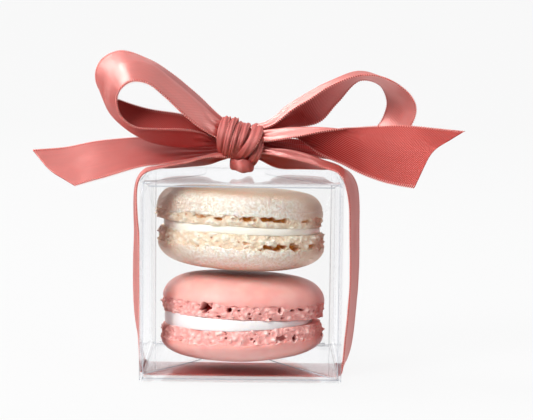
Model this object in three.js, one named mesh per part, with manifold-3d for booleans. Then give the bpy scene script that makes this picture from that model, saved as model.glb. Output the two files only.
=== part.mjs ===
// A clear folding box that holds two stacked macarons, tied round with satin ribbon under a bow.
// Millimetres. X runs along the bow, the front faces -Y and Z is up.
// The origin is on the underside of the ribbon, below the centre of the box.

import Module from "manifold-3d";
import * as THREE from "three";
import { RoundedBoxGeometry } from "three/addons/geometries/RoundedBoxGeometry.js";
import { mergeVertices } from "three/addons/utils/BufferGeometryUtils.js";

const wasm = await Module();
wasm.setup();

// Driving dimensions
const boxSide = 50.8; // a two inch favour box
const wall = 0.3;
const foldRadius = 1.0;
const slit = 0.4; // the open edges of the lid and of the base
const flapDrop = 7; // how far a tuck flap reaches into the box
const tuckSetBack = 0.8; // from a wall's inside to the middle of the tuck flap's slot
const lidSetIn = 0.5; // from a wall's inside to the open edge of the lid or the base
const tuckSetIn = 1.6; // how much narrower than the lid a tuck flap is at each end
const flapGap = 0.15; // between the lid or the base and the dust flaps next to it
const ribbonThick = 0.35; // the ribbon itself is cut 16 mm wide, which its stations below keep
const underside = 0.7; // the box stands this high on its ribbon
const gap = 0.3; // between neighbouring pieces
const macaronY = -0.6; // the macarons stand a little forward, as their tops lean back
const foldSoftness = 0.16; // share of the ribbon's width that a lengthwise fold takes
const stepsPerStation = 2;
const stepsAcross = 5;

const boxTop = underside + boxSide;
const half = boxSide / 2;

// Each macaron: a lower shell, a filling that is thicker on the left, and an upper shell.
// Rolls are degrees with the left side high, pitch is degrees with the front high.
const pink = {
  name: "pink",
  radius: 21.4,
  centreX: 0.3,
  bottom: 1.8,
  roll: -1.0,
  pitch: 4.2,
  lowerShell: { dome: 6.1, foot: 3.8, squareness: 2.7 },
  filling: { left: 2.8, right: 0.7, inset: 1.7, shiftX: -0.8 },
  upperShell: { dome: 7.0, foot: 3.6, squareness: 4.4, shiftX: 0.3 },
  seed: 11,
  shellColour: 0xf0aaa4,
  fillingColour: 0xfbf7f2,
};
const cream = {
  name: "cream",
  radius: 21.9,
  centreX: -0.6,
  bottom: 25.9,
  roll: 2.4,
  pitch: 3.0,
  lowerShell: { dome: 6.5, foot: 3.8, squareness: 3.6 },
  filling: { left: 1.5, right: 1.1, inset: 1.7, shiftX: 0 },
  upperShell: { dome: 6.3, foot: 2.5, squareness: 9.0, shiftX: -0.8 },
  seed: 29,
  shellColour: 0xecdcc4,
  fillingColour: 0xf8f0e0,
};

const satin = { color: 0xc96a66, roughness: 0.45, metalness: 0 };
const clearFilm = { color: 0xf4f6f8, roughness: 0.08, metalness: 0, transparent: true, opacity: 0.3 };

// Each ribbon station holds three points across the strip: near selvedge, lengthwise fold, far selvedge.
// Between stations each of the three lines is a smooth curve.
const leftLoop = [
  [[-2.0, -3.0, 59.5], [-2.0, -1.0, 62.5], [-2.0, 2.0, 62.0]],
  [[-7.0, -5.0, 61.0], [-6.0, -2.0, 65.0], [-5.5, 3.0, 65.6]],
  [[-11.0, -6.8, 63.4], [-10.4, -2.0, 68.5], [-10.4, 5.0, 69.9]],
  [[-15.7, -7.0, 67.2], [-15.0, -1.5, 72.3], [-14.4, 6.0, 73.2]],
  [[-20.1, -7.0, 71.4], [-19.3, -1.0, 75.6], [-19.1, 6.5, 76.9]],
  [[-24.5, -7.0, 74.7], [-24.5, -1.0, 79.4], [-25.0, 6.5, 80.6]],
  [[-28.6, -7.0, 75.2], [-31.0, -1.0, 80.0], [-32.6, 6.5, 82.9]],
  [[-31.5, -6.8, 73.2], [-35.2, -1.0, 76.6], [-37.4, 6.0, 80.7]],
  [[-32.5, -6.3, 70.4], [-36.4, -1.3, 71.8], [-39.0, 5.0, 76.8]],
  [[-31.6, -5.7, 66.4], [-34.9, -2.0, 67.0], [-37.4, 3.8, 72.2]],
  [[-28.0, -5.0, 63.5], [-30.0, -2.2, 62.2], [-32.0, 3.0, 69.9]],
  [[-22.5, -4.4, 63.1], [-23.6, -2.2, 58.9], [-25.2, 2.8, 67.9]],
  [[-15.6, -4.0, 63.0], [-15.6, -2.0, 57.8], [-17.0, 2.6, 66.7]],
  [[-10.0, -3.6, 61.9], [-9.8, -2.0, 58.4], [-10.6, 2.0, 65.2]],
  [[-7.0, -2.6, 60.0], [-6.6, -1.4, 58.8], [-7.0, 1.4, 62.0]],
  [[-2.0, -1.6, 59.4], [-2.0, -1.0, 58.8], [-2.0, 0.6, 60.2]],
];
const rightLoop = [
  [[1.5, -3.0, 62.4], [1.5, -1.5, 63.2], [1.5, 1.5, 62.0]],
  [[7.4, -5.0, 64.6], [6.9, -2.5, 65.4], [9.0, 2.5, 62.6]],
  [[12.0, -5.5, 67.9], [11.5, -2.5, 69.9], [14.6, 4.0, 63.3]],
  [[17.2, -5.5, 71.0], [16.4, -2.5, 73.2], [20.2, 4.5, 64.8]],
  [[22.4, -5.7, 74.4], [21.6, -2.5, 75.9], [24.9, 5.4, 69.9]],
  [[30.3, -6.4, 77.4], [30.0, -1.6, 78.7], [30.8, 6.6, 75.7]],
  [[37.0, -7.0, 76.6], [36.5, -0.6, 76.3], [36.0, 7.0, 74.7]],
  [[42.8, -7.0, 72.7], [41.4, 0.0, 71.7], [37.9, 7.0, 70.6]],
  [[44.4, -7.0, 69.2], [42.1, 0.2, 68.6], [37.5, 7.0, 67.7]],
  [[43.4, -6.0, 65.0], [40.4, 0.8, 64.6], [36.0, 6.8, 64.4]],
  [[39.8, -3.6, 61.0], [37.4, 1.6, 61.6], [34.0, 6.4, 62.2]],
  [[33.0, -1.0, 57.6], [31.8, 2.4, 58.8], [29.6, 6.0, 60.5]],
  [[25.0, -0.4, 55.4], [24.0, 2.4, 57.4], [22.6, 5.6, 59.6]],
  [[15.0, -1.2, 56.3], [14.4, 1.4, 58.0], [13.6, 4.4, 60.2]],
  [[7.0, -2.6, 57.7], [7.0, 0.0, 59.0], [6.6, 2.6, 60.9]],
  [[1.5, -2.0, 59.6], [1.5, -0.4, 60.0], [1.5, 1.0, 60.6]],
];
const rightTail = [
  [[1.5, -3.4, 60.4], [1.5, -3.0, 62.0], [1.5, -0.6, 61.2]],
  [[6.4, -6.6, 60.3], [6.4, -4.6, 63.2], [6.5, -1.2, 61.2]],
  [[10.8, -8.0, 61.0], [10.6, -6.0, 64.1], [10.8, -1.6, 61.4]],
  [[14.3, -9.4, 61.8], [14.4, -7.2, 64.4], [14.5, -2.6, 60.7]],
  [[19.7, -11.0, 63.1], [19.8, -9.0, 64.5], [20.0, -4.6, 56.8]],
  [[25.3, -12.2, 64.1], [25.4, -11.0, 63.6], [25.6, -7.2, 54.5]],
  [[30.2, -12.8, 64.6], [30.4, -12.8, 61.0], [30.6, -10.7, 52.3]],
  [[34.8, -14.2, 65.0], [35.0, -14.6, 60.0], [35.2, -13.6, 50.9]],
  [[41.0, -16.2, 65.3], [39.8, -17.0, 59.4], [39.6, -16.8, 50.1]],
  [[55.6, -18.6, 64.1], [47.4, -20.0, 59.3], [43.1, -19.6, 49.8]],
];
const leftTail = [
  [[-2.0, 1.0, 56.8], [-2.0, 1.8, 58.0], [-2.0, 3.0, 59.2]],
  [[-9.9, 1.6, 55.3], [-10.0, 3.4, 56.8], [-10.1, 6.0, 58.2]],
  [[-16.4, 1.3, 54.3], [-16.5, 4.0, 56.8], [-16.8, 8.2, 59.3]],
  [[-21.5, -0.8, 53.5], [-21.8, 3.0, 56.8], [-22.2, 8.8, 59.8]],
  [[-26.8, -4.0, 53.0], [-27.2, 2.0, 56.4], [-27.7, 8.4, 59.9]],
  [[-36.3, -7.0, 50.3], [-37.0, 0.0, 54.7], [-38.1, 6.0, 59.0]],
  [[-41.6, -8.0, 48.8], [-44.0, -1.0, 53.0], [-46.5, 4.0, 57.5]],
  [[-43.2, -8.2, 48.4], [-50.2, -3.0, 51.6], [-55.3, 1.0, 56.8]],
];
const band = [
  [[-2.0, -3.0, 56.0], [-2.0, -1.4, 56.5], [-2.0, 0.4, 56.6]],
  [[-9.0, -7.0, 56.0], [-9.1, -3.5, 56.3], [-9.2, 6.0, 53.1]],
  [[-14.7, -12.0, 55.0], [-14.7, -6.4, 55.3], [-14.5, 5.0, 52.5]],
  [[-19.5, -16.8, 54.3], [-19.6, -10.2, 54.4], [-19.5, 1.0, 52.4]],
  [[-24.5, -20.8, 53.0], [-24.8, -13.5, 53.0], [-25.2, -6.0, 52.7]],
  [[-26.2, -21.0, 50.4], [-26.8, -13.4, 50.0], [-27.5, -5.8, 49.6]],
  [[-25.9, -18.4, 34.0], [-27.0, -10.7, 34.0], [-28.2, -3.0, 34.0]],
  [[-25.9, -16.0, 15.0], [-27.0, -8.2, 15.0], [-28.2, -0.4, 15.0]],
  [[-25.95, -13.9, 3.0], [-26.1, -5.9, 3.0], [-26.3, 2.1, 3.0]],
  [[-25.5, -13.5, 0.7], [-25.5, -5.5, 0.7], [-25.6, 2.5, 0.7]],
  [[-24.2, -13.5, 0.25], [-24.2, -5.5, 0.25], [-24.2, 2.5, 0.25]],
  [[-22.5, -13.5, 0.18], [-22.5, -5.5, 0.18], [-22.5, 2.5, 0.18]],
  [[-20.0, -13.5, 0.175], [-20.0, -5.5, 0.175], [-20.0, 2.5, 0.175]],
  [[0.0, -13.5, 0.175], [0.0, -5.5, 0.175], [0.0, 2.5, 0.175]],
  [[20.0, -13.5, 0.175], [20.0, -5.5, 0.175], [20.0, 2.5, 0.175]],
  [[22.5, -13.5, 0.18], [22.5, -5.5, 0.18], [22.5, 2.5, 0.18]],
  [[24.2, -13.5, 0.25], [24.2, -5.5, 0.25], [24.4, 2.5, 0.25]],
  [[25.6, -13.6, 0.75], [26.3, -5.6, 0.6], [27.2, 2.3, 0.6]],
  [[26.1, -13.9, 2.5], [27.2, -5.9, 2.6], [28.4, 2.0, 2.8]],
  [[26.5, -15.0, 8.5], [28.0, -7.1, 8.5], [29.5, 0.8, 8.5]],
  [[27.5, -15.8, 20.0], [29.1, -8.0, 20.0], [30.4, 0.0, 20.0]],
  [[27.4, -16.6, 36.0], [29.2, -8.8, 36.0], [30.5, -0.8, 36.0]],
  [[26.6, -16.8, 48.5], [28.4, -9.2, 48.8], [29.6, -1.4, 49.0]],
  [[24.8, -15.8, 52.6], [25.8, -9.4, 53.6], [26.8, -0.8, 52.4]],
  [[19.8, -11.5, 54.2], [19.9, -9.0, 56.2], [20.4, 3.6, 52.2]],
  [[14.7, -9.0, 55.4], [14.7, -7.0, 57.8], [15.4, 5.4, 52.2]],
  [[9.5, -7.2, 56.4], [9.5, -5.2, 58.6], [9.4, 5.0, 52.4]],
  [[1.5, -3.0, 57.2], [1.5, -2.6, 58.0], [1.5, 0.0, 56.2]],
];

// The knot's wraps: the middle of each, its half width, half height and half depth, and its lean in X with Z
const wraps = [
  { at: [-5.0, -0.6, 60.4], width: 1.4, height: 4.9, depth: 5.0, lean: 0.02 },
  { at: [-3.0, -0.8, 60.3], width: 1.3, height: 4.7, depth: 5.6, lean: 0.15 },
  { at: [-0.6, -0.9, 60.0], width: 1.6, height: 3.9, depth: 6.0, lean: 0.27 },
  { at: [2.6, -0.8, 59.0], width: 1.8, height: 4.6, depth: 5.4, lean: 0.24 },
];
const wrapBulge = 0.8; // half thickness of a wrap
const knotCore = { at: [-1.0, -0.7, 59.8], size: [4.6, 4.8, 4.8] };
const knotFoot = { at: [-0.9, -2.6, 53.8], size: [2.7, 3.4, 1.8] };

const radians = THREE.MathUtils.degToRad;

// Helpers

// A seeded random number generator, the same numbers on each run
function seeded(seed) {
  let state = seed;
  return () => {
    state = (state * 1664525 + 1013904223) % 4294967296;
    return state / 4294967296;
  };
}

// A closed mesh from rings of points: a cap at each end, and a wall between each two rings
function closedFromRings(rings, closedLengthways) {
  const count = rings[0].length;
  const positions = rings.flat().flatMap((p) => [p.x, p.y, p.z]);
  const faces = [];
  const last = closedLengthways ? rings.length : rings.length - 1;
  for (let i = 0; i < last; i++) {
    const here = i * count;
    const next = ((i + 1) % rings.length) * count;
    for (let j = 0; j < count; j++) {
      const k = (j + 1) % count;
      faces.push(here + j, here + k, next + k);
      faces.push(here + j, next + k, next + j);
    }
  }
  if (!closedLengthways) {
    for (const [first, flip] of [[0, true], [(rings.length - 1) * count, false]]) {
      for (let j = 0; j < count / 2 - 1; j++) {
        const [a, b, c, d] = [first + j, first + j + 1, first + count - 2 - j, first + count - 1 - j];
        const quad = b === c ? [a, b, d] : [a, b, c, a, c, d];
        for (let k = 0; k < quad.length; k += 3) {
          const [p, q, r] = quad.slice(k, k + 3);
          faces.push(p, flip ? r : q, flip ? q : r);
        }
      }
    }
  }
  return outwardGeometry(positions, faces);
}

// A geometry whose faces point out: they are turned round if the volume they hold comes out negative
function outwardGeometry(positions, faces) {
  const corner = (index) => new THREE.Vector3(...positions.slice(3 * index, 3 * index + 3));
  let volume = 0;
  for (let i = 0; i < faces.length; i += 3) {
    const [a, b, c] = faces.slice(i, i + 3).map(corner);
    volume += a.dot(b.cross(c)) / 6;
  }
  const geometry = new THREE.BufferGeometry();
  geometry.setAttribute("position", new THREE.Float32BufferAttribute(positions, 3));
  geometry.setIndex(volume < 0 ? faces.toReversed() : faces);
  return geometry;
}

function solidOf(geometry) {
  const bare = geometry.clone();
  bare.deleteAttribute("normal");
  bare.deleteAttribute("uv");
  const merged = mergeVertices(bare, 1e-5);
  const solid = new wasm.Manifold(
    new wasm.Mesh({
      numProp: 3,
      vertProperties: new Float32Array(merged.attributes.position.array),
      triVerts: new Uint32Array(merged.index.array),
    }),
  );
  return solid;
}

function geometryOf(solid) {
  const mesh = solid.getMesh();
  const geometry = new THREE.BufferGeometry();
  geometry.setAttribute("position", new THREE.Float32BufferAttribute(mesh.vertProperties, 3));
  geometry.setIndex(Array.from(mesh.triVerts));
  return geometry;
}

// The largest of the bodies that a cut leaves
function largestBody(solid) {
  const bodies = solid.decompose();
  return bodies.reduce((best, body) => (body.volume() > best.volume() ? body : best));
}

function block(low, high) {
  const size = high.map((value, i) => value - low[i]);
  const geometry = new THREE.BoxGeometry(...size);
  geometry.translate(...low.map((value, i) => value + size[i] / 2));
  return solidOf(geometry);
}

function mesh(name, geometry, finish) {
  geometry.computeVertexNormals();
  const made = new THREE.Mesh(geometry, new THREE.MeshStandardMaterial(finish));
  made.name = name;
  return made;
}

// Ribbon

// One point across the strip, t from 0 at the near selvedge to 1 at the far one.
// Two straight flaps meet at the fold at t = 0.5, and the corner between them is rounded by a parabola.
function acrossStrip(near, fold, far, t) {
  const nearSlope = fold.clone().sub(near).multiplyScalar(2);
  const farSlope = far.clone().sub(fold).multiplyScalar(2);
  const past = t - 0.5;
  const rounded = (past + foldSoftness) ** 2 / (4 * foldSoftness);
  const ramp = Math.abs(past) < foldSoftness ? rounded : Math.max(past, 0);
  const turn = farSlope.sub(nearSlope);
  return near.clone().addScaledVector(nearSlope, t).addScaledVector(turn, ramp);
}

// The strip's middle surface on a grid, and the same surface moved half a thickness to each side
function stripGeometry(stations, stepsPerStation, across) {
  const rails = [0, 1, 2].map((rail) => {
    const points = stations.map((station) => new THREE.Vector3(...station[rail]));
    return new THREE.CatmullRomCurve3(points, false, "centripetal");
  });
  const steps = (stations.length - 1) * stepsPerStation;
  const grid = [];
  for (let i = 0; i <= steps; i++) {
    const [near, fold, far] = rails.map((rail) => rail.getPoint(i / steps));
    grid.push(Array.from({ length: across + 1 }, (_, j) => acrossStrip(near, fold, far, j / across)));
  }
  const side = (i, j, way) => {
    const along = grid[Math.min(i + 1, steps)][j].clone().sub(grid[Math.max(i - 1, 0)][j]);
    const over = grid[i][Math.min(j + 1, across)].clone().sub(grid[i][Math.max(j - 1, 0)]);
    return grid[i][j].clone().addScaledVector(along.cross(over).normalize(), (way * ribbonThick) / 2);
  };
  const rings = grid.map((row, i) => {
    const upper = row.map((_, j) => side(i, j, 1));
    const lower = row.map((_, j) => side(i, j, -1)).reverse();
    return [...upper, ...lower];
  });
  return closedFromRings(rings, false);
}

// Knot

// One wrap: an upright oval ring round the bundle of ribbon, leaning with height, of a flat oval section
function wrapSolid({ at, width, height, depth, lean }, grow) {
  const [aroundSteps, sectionSteps] = [16, 6];
  const rings = Array.from({ length: aroundSteps }, (_, i) => {
    const turn = (i / aroundSteps) * 2 * Math.PI;
    return Array.from({ length: sectionSteps }, (_, j) => {
      const roll = (j / sectionSteps) * 2 * Math.PI;
      const out = Math.cos(roll) * (wrapBulge + grow);
      const rise = (height + out) * Math.sin(turn);
      return new THREE.Vector3(
        at[0] + lean * rise + Math.sin(roll) * (width + grow),
        at[1] + (depth + out) * Math.cos(turn),
        at[2] + rise,
      );
    });
  });
  return solidOf(closedFromRings(rings, true));
}

function lump({ at, size }, grow) {
  const geometry = new THREE.SphereGeometry(1, 12, 8);
  geometry.scale(...size.map((value) => value + grow));
  geometry.translate(...at);
  return solidOf(geometry);
}

function knotSolid(grow) {
  const pieces = [lump(knotCore, grow), lump(knotFoot, grow), ...wraps.map((wrap) => wrapSolid(wrap, grow))];
  return pieces.reduce((sum, piece) => sum.add(piece));
}

// Box

// A plate with the outline of a folded-in flap, straight along its fold and tapered to its free edge
function dustFlap(outline, low) {
  const shape = new THREE.Shape(outline.map(([x, y]) => new THREE.Vector2(x, y)));
  const geometry = new THREE.ExtrudeGeometry(shape, { depth: wall, bevelEnabled: false });
  geometry.translate(0, 0, low);
  return solidOf(geometry);
}

// The folded sheet: a rounded shell slit along the open edges of its lid and base, with the flaps inside
function clearBox() {
  const middle = underside + half;
  const shell = (inset) => {
    const size = boxSide - 2 * inset;
    const geometry = new RoundedBoxGeometry(size, size, size, 2, foldRadius - inset);
    geometry.translate(0, 0, middle);
    return solidOf(geometry);
  };
  const inner = half - wall;
  const tuck = inner - tuckSetBack;
  const sidesIn = inner - lidSetIn;
  const cutDepth = 0.5; // a little past the wall
  let sheet = shell(0).subtract(shell(wall));
  // the lid folds at the back and tucks in at the front, and the base the other way round
  for (const [face, front] of [[boxTop, 1], [underside, -1]]) {
    const [low, high] = [face - cutDepth, face + cutDepth];
    const [openY, foldY] = [-tuck * front, (half - foldRadius) * front];
    const [y0, y1] = [Math.min(openY, foldY), Math.max(openY, foldY)];
    for (const x of [-sidesIn, sidesIn]) {
      sheet = sheet.subtract(block([x - slit / 2, y0 - slit, low], [x + slit / 2, y1, high]));
    }
    const slitY = openY - (front * slit) / 2;
    sheet = sheet.subtract(block([-sidesIn, slitY - slit / 2, low], [sidesIn, slitY + slit / 2, high]));
    const flapEnd = face === boxTop ? [face - flapDrop, face] : [face, face + flapDrop];
    const flapY = openY + (front * wall) / 2;
    const flapHalf = sidesIn - tuckSetIn;
    sheet = sheet.add(
      block([-flapHalf, flapY - wall / 2, flapEnd[0]], [flapHalf, flapY + wall / 2, flapEnd[1]]),
    );
  }
  // the four dust flaps fold in from the side walls, next to the base and the lid
  const hinge = half - wall / 2;
  const leftFlap = [[-hinge, -16.6], [-10, 2.1], [-10, 20], [-hinge, 23.6]];
  const rightFlap = [[hinge, 23.6], [6, 20], [6, 3.6], [hinge, -22.1]];
  for (const low of [underside + wall + flapGap, boxTop - 2 * wall - flapGap]) {
    sheet = sheet.add(dustFlap(leftFlap, low)).add(dustFlap(rightFlap, low));
  }
  return largestBody(sheet);
}

// Macarons

const around = 44; // steps round a macaron

// A sum of waves round the edge, from about -1 to 1, that drift from each level to the next
function ruffle(seed) {
  const random = seeded(seed);
  const waves = [5, 8, 13, 17, 21].map((lobes) => {
    return { lobes, start: random() * 2 * Math.PI, drift: 2 + random() * 5 };
  });
  const share = 1 / Math.sqrt(waves.length);
  return (angle, level) => {
    const heights = waves.map(({ lobes, start, drift }) => Math.sin(lobes * angle + start + drift * level));
    return share * heights.reduce((sum, height) => sum + height);
  };
}

// Turns a profile of [radius, height, roughness] round Z, with both ends closed on the axis
function turnedSolid(profile, wave) {
  const rings = profile.map(([r, z, rough], level) =>
    Array.from({ length: around }, (_, k) => {
      const angle = (k / around) * 2 * Math.PI;
      const reach = r + rough * wave(angle, level);
      return new THREE.Vector3(reach * Math.cos(angle), reach * Math.sin(angle), z);
    }),
  );
  const count = rings.length * around;
  const positions = rings.flat().flatMap((p) => [p.x, p.y, p.z]);
  positions.push(0, 0, profile[0][1], 0, 0, profile[profile.length - 1][1]);
  const faces = [];
  for (let k = 0; k < around; k++) {
    const n = (k + 1) % around;
    faces.push(count, n, k);
    faces.push(count + 1, count - around + k, count - around + n);
    for (let i = 0; i < rings.length - 1; i++) {
      const [here, next] = [i * around, (i + 1) * around];
      faces.push(here + k, here + n, next + n);
      faces.push(here + k, next + n, next + k);
    }
  }
  return outwardGeometry(positions, faces);
}

// A baked shell with its flat side on z = 0: ruffled foot, sharp rim, and a low dome.
// The dome's profile is a superellipse, (r / radius) ^ squareness + (z / dome) ^ 2 = 1.
function shellGeometry(radius, { dome, foot, squareness }, seed) {
  // share of the foot's height, how far inside the rim, roughness
  const footRows = [
    [0.06, 1.4, 0.25],
    [0.3, 0.7, 0.5],
    [0.55, 0.6, 0.5],
    [0.8, 1.0, 0.4],
    [0.97, 1.5, 0.15],
  ];
  const domeRows = 7;
  const firstRow = 0.35; // the rim's lip starts a little way up the first step
  const profile = [[radius - 3.2, 0, 0.1]];
  for (const [level, inset, rough] of footRows) {
    profile.push([radius - inset, foot * level, rough]);
  }
  for (let i = 0; i < domeRows; i++) {
    const angle = ((i + firstRow) / (domeRows + 0.2)) * (Math.PI / 2);
    profile.push([radius * Math.cos(angle) ** (2 / squareness), foot + dome * Math.sin(angle), 0.03]);
  }
  return turnedSolid(profile, ruffle(seed));
}

// The filling is a disc, thicker on the left, with its edge bulging between the shells
function fillingGeometry(radius, { left, right }, seed) {
  // how far inside the edge, share of the thickness, roughness
  const edge = [
    [2.2, 0, 0.1],
    [0.3, 0.16, 0.25],
    [0, 0.5, 0.3],
    [0.3, 0.84, 0.25],
    [2.2, 1, 0.1],
  ];
  const geometry = turnedSolid(edge.map(([inset, z, rough]) => [radius - inset, z, rough]), ruffle(seed));
  const position = geometry.attributes.position;
  for (let i = 0; i < position.count; i++) {
    const share = (position.getX(i) + radius) / (2 * radius);
    position.setZ(i, position.getZ(i) * THREE.MathUtils.lerp(left, right, share));
  }
  return geometry;
}

// Shell, filling and shell. The upper shell lies on the filling's wedge, and the whole leans as it lies.
function macaron(spec) {
  const group = new THREE.Group();
  const { radius, filling, lowerShell, upperShell, seed } = spec;
  const fillingRadius = radius - filling.inset;
  const shellFinish = { color: spec.shellColour, roughness: 0.6, metalness: 0 };
  const fillingFinish = { color: spec.fillingColour, roughness: 0.5, metalness: 0 };

  const lower = mesh(`${spec.name}_bottom_shell`, shellGeometry(radius, lowerShell, seed), shellFinish);
  const lowerHeight = lowerShell.dome + lowerShell.foot;
  lower.rotation.x = Math.PI;
  lower.position.z = lowerHeight;

  const disc = fillingGeometry(fillingRadius, filling, seed + 1);
  const middle = mesh(`${spec.name}_filling`, disc, fillingFinish);
  middle.position.set(filling.shiftX, 0, lowerHeight + gap);

  const wedge = Math.atan2(filling.left - filling.right, 2 * fillingRadius);
  const upper = mesh(`${spec.name}_top_shell`, shellGeometry(radius, upperShell, seed + 2), shellFinish);
  upper.rotation.y = wedge;
  upper.position.set(upperShell.shiftX, 0, lowerHeight + 2 * gap + (filling.left + filling.right) / 2);

  group.add(lower, middle, upper);
  group.rotation.set(-radians(spec.pitch), radians(spec.roll), 0);
  const lowest = new THREE.Box3().setFromObject(group, true).min.z;
  group.position.set(spec.centreX, macaronY, spec.bottom - lowest);
  return group;
}

// The whole
const part = new THREE.Group();
part.add(mesh("clear_box", geometryOf(clearBox()), clearFilm));
part.add(macaron(pink), macaron(cream));

const knotRoom = knotSolid(gap);
part.add(mesh("ribbon_knot", geometryOf(knotSolid(0)), satin));
const strips = {
  ribbon_band: band,
  left_loop: leftLoop,
  right_loop: rightLoop,
  left_tail: leftTail,
  right_tail: rightTail,
};
for (const [name, stations] of Object.entries(strips)) {
  const strip = solidOf(stripGeometry(stations, stepsPerStation, stepsAcross));
  part.add(mesh(name, geometryOf(largestBody(strip.subtract(knotRoom))), satin));
}

export default part;
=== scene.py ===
import itertools
import math

import bpy
import numpy as np
from bpy.props import FloatProperty, FloatVectorProperty, PointerProperty
from mathutils import Matrix, Vector


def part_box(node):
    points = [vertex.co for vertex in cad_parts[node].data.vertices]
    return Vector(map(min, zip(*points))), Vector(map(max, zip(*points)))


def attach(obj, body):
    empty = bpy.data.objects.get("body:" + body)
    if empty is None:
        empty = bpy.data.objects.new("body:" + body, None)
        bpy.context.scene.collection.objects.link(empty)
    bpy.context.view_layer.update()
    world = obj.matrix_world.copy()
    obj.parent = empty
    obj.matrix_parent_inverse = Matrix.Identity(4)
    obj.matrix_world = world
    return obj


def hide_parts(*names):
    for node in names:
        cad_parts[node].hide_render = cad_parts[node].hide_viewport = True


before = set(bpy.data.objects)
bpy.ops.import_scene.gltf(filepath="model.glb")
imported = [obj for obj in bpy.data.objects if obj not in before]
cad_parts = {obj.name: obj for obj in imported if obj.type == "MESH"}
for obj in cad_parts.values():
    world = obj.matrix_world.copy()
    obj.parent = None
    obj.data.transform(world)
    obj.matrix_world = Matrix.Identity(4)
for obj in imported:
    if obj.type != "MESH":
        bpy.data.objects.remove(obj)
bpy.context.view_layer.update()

bl_info = {
    "name": "Box of Macarons",
    "version": (1, 0, 0),
    "blender": (4, 5, 0),
    "location": "3D View > Sidebar > Macarons",
    "description": "A clear folding box of two macarons, tied round with a satin ribbon and a bow",
    "category": "Object",
}

# Lengths in this file are metres. Lists given in millimetres are multiplied by MM.
MM = 0.001


# Ribbon stations, in millimetres: near selvedge, lengthwise fold, far selvedge
LEFT_LOOP = [
    [[-2.0, -3.0, 59.5], [-2.0, -1.0, 62.5], [-2.0, 2.0, 62.0]],
    [[-7.0, -5.0, 61.0], [-6.0, -2.0, 65.0], [-5.5, 3.0, 65.6]],
    [[-11.0, -6.8, 63.4], [-10.4, -2.0, 68.5], [-10.4, 5.0, 69.9]],
    [[-15.7, -7.0, 67.2], [-15.0, -1.5, 72.3], [-14.4, 6.0, 73.2]],
    [[-20.1, -7.0, 71.4], [-19.3, -1.0, 75.6], [-19.1, 6.5, 76.9]],
    [[-24.5, -7.0, 74.7], [-24.5, -1.0, 79.4], [-25.0, 6.5, 80.6]],
    [[-28.6, -7.0, 75.2], [-31.0, -1.0, 80.0], [-32.6, 6.5, 82.9]],
    [[-31.5, -6.8, 73.2], [-35.2, -1.0, 76.6], [-37.4, 6.0, 80.7]],
    [[-32.5, -6.3, 70.4], [-36.4, -1.3, 71.8], [-39.0, 5.0, 76.8]],
    [[-31.6, -5.7, 66.4], [-34.9, -2.0, 67.0], [-37.4, 3.8, 72.2]],
    [[-28.0, -5.0, 63.5], [-30.0, -2.2, 62.2], [-32.0, 3.0, 69.9]],
    [[-22.5, -4.4, 63.1], [-23.6, -2.2, 58.9], [-25.2, 2.8, 67.9]],
    [[-15.6, -4.0, 63.0], [-15.6, -2.0, 57.8], [-17.0, 2.6, 66.7]],
    [[-10.0, -3.6, 61.9], [-9.8, -2.0, 58.4], [-10.6, 2.0, 65.2]],
    [[-7.0, -2.6, 60.0], [-6.6, -1.4, 58.8], [-7.0, 1.4, 62.0]],
    [[-2.0, -1.6, 59.4], [-2.0, -1.0, 58.8], [-2.0, 0.6, 60.2]],
]
RIGHT_LOOP = [
    [[1.5, -3.0, 62.4], [1.5, -1.5, 63.2], [1.5, 1.5, 62.0]],
    [[7.4, -5.0, 64.6], [6.9, -2.5, 65.4], [9.0, 2.5, 62.6]],
    [[12.0, -5.5, 67.9], [11.5, -2.5, 69.9], [14.6, 4.0, 63.3]],
    [[17.2, -5.5, 71.0], [16.4, -2.5, 73.2], [20.2, 4.5, 64.8]],
    [[22.4, -5.7, 74.4], [21.6, -2.5, 75.9], [24.9, 5.4, 69.9]],
    [[30.3, -6.4, 77.4], [30.0, -1.6, 78.7], [30.8, 6.6, 75.7]],
    [[37.0, -7.0, 76.6], [36.5, -0.6, 76.3], [36.0, 7.0, 74.7]],
    [[42.8, -7.0, 72.7], [41.4, 0.0, 71.7], [37.9, 7.0, 70.6]],
    [[44.4, -7.0, 69.2], [42.1, 0.2, 68.6], [37.5, 7.0, 67.7]],
    [[43.4, -6.0, 65.0], [40.4, 0.8, 64.6], [36.0, 6.8, 64.4]],
    [[39.8, -3.6, 61.0], [37.4, 1.6, 61.6], [34.0, 6.4, 62.2]],
    [[33.0, -1.0, 57.6], [31.8, 2.4, 58.8], [29.6, 6.0, 60.5]],
    [[25.0, -0.4, 55.4], [24.0, 2.4, 57.4], [22.6, 5.6, 59.6]],
    [[15.0, -1.2, 56.3], [14.4, 1.4, 58.0], [13.6, 4.4, 60.2]],
    [[7.0, -2.6, 57.7], [7.0, 0.0, 59.0], [6.6, 2.6, 60.9]],
    [[1.5, -2.0, 59.6], [1.5, -0.4, 60.0], [1.5, 1.0, 60.6]],
]
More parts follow.
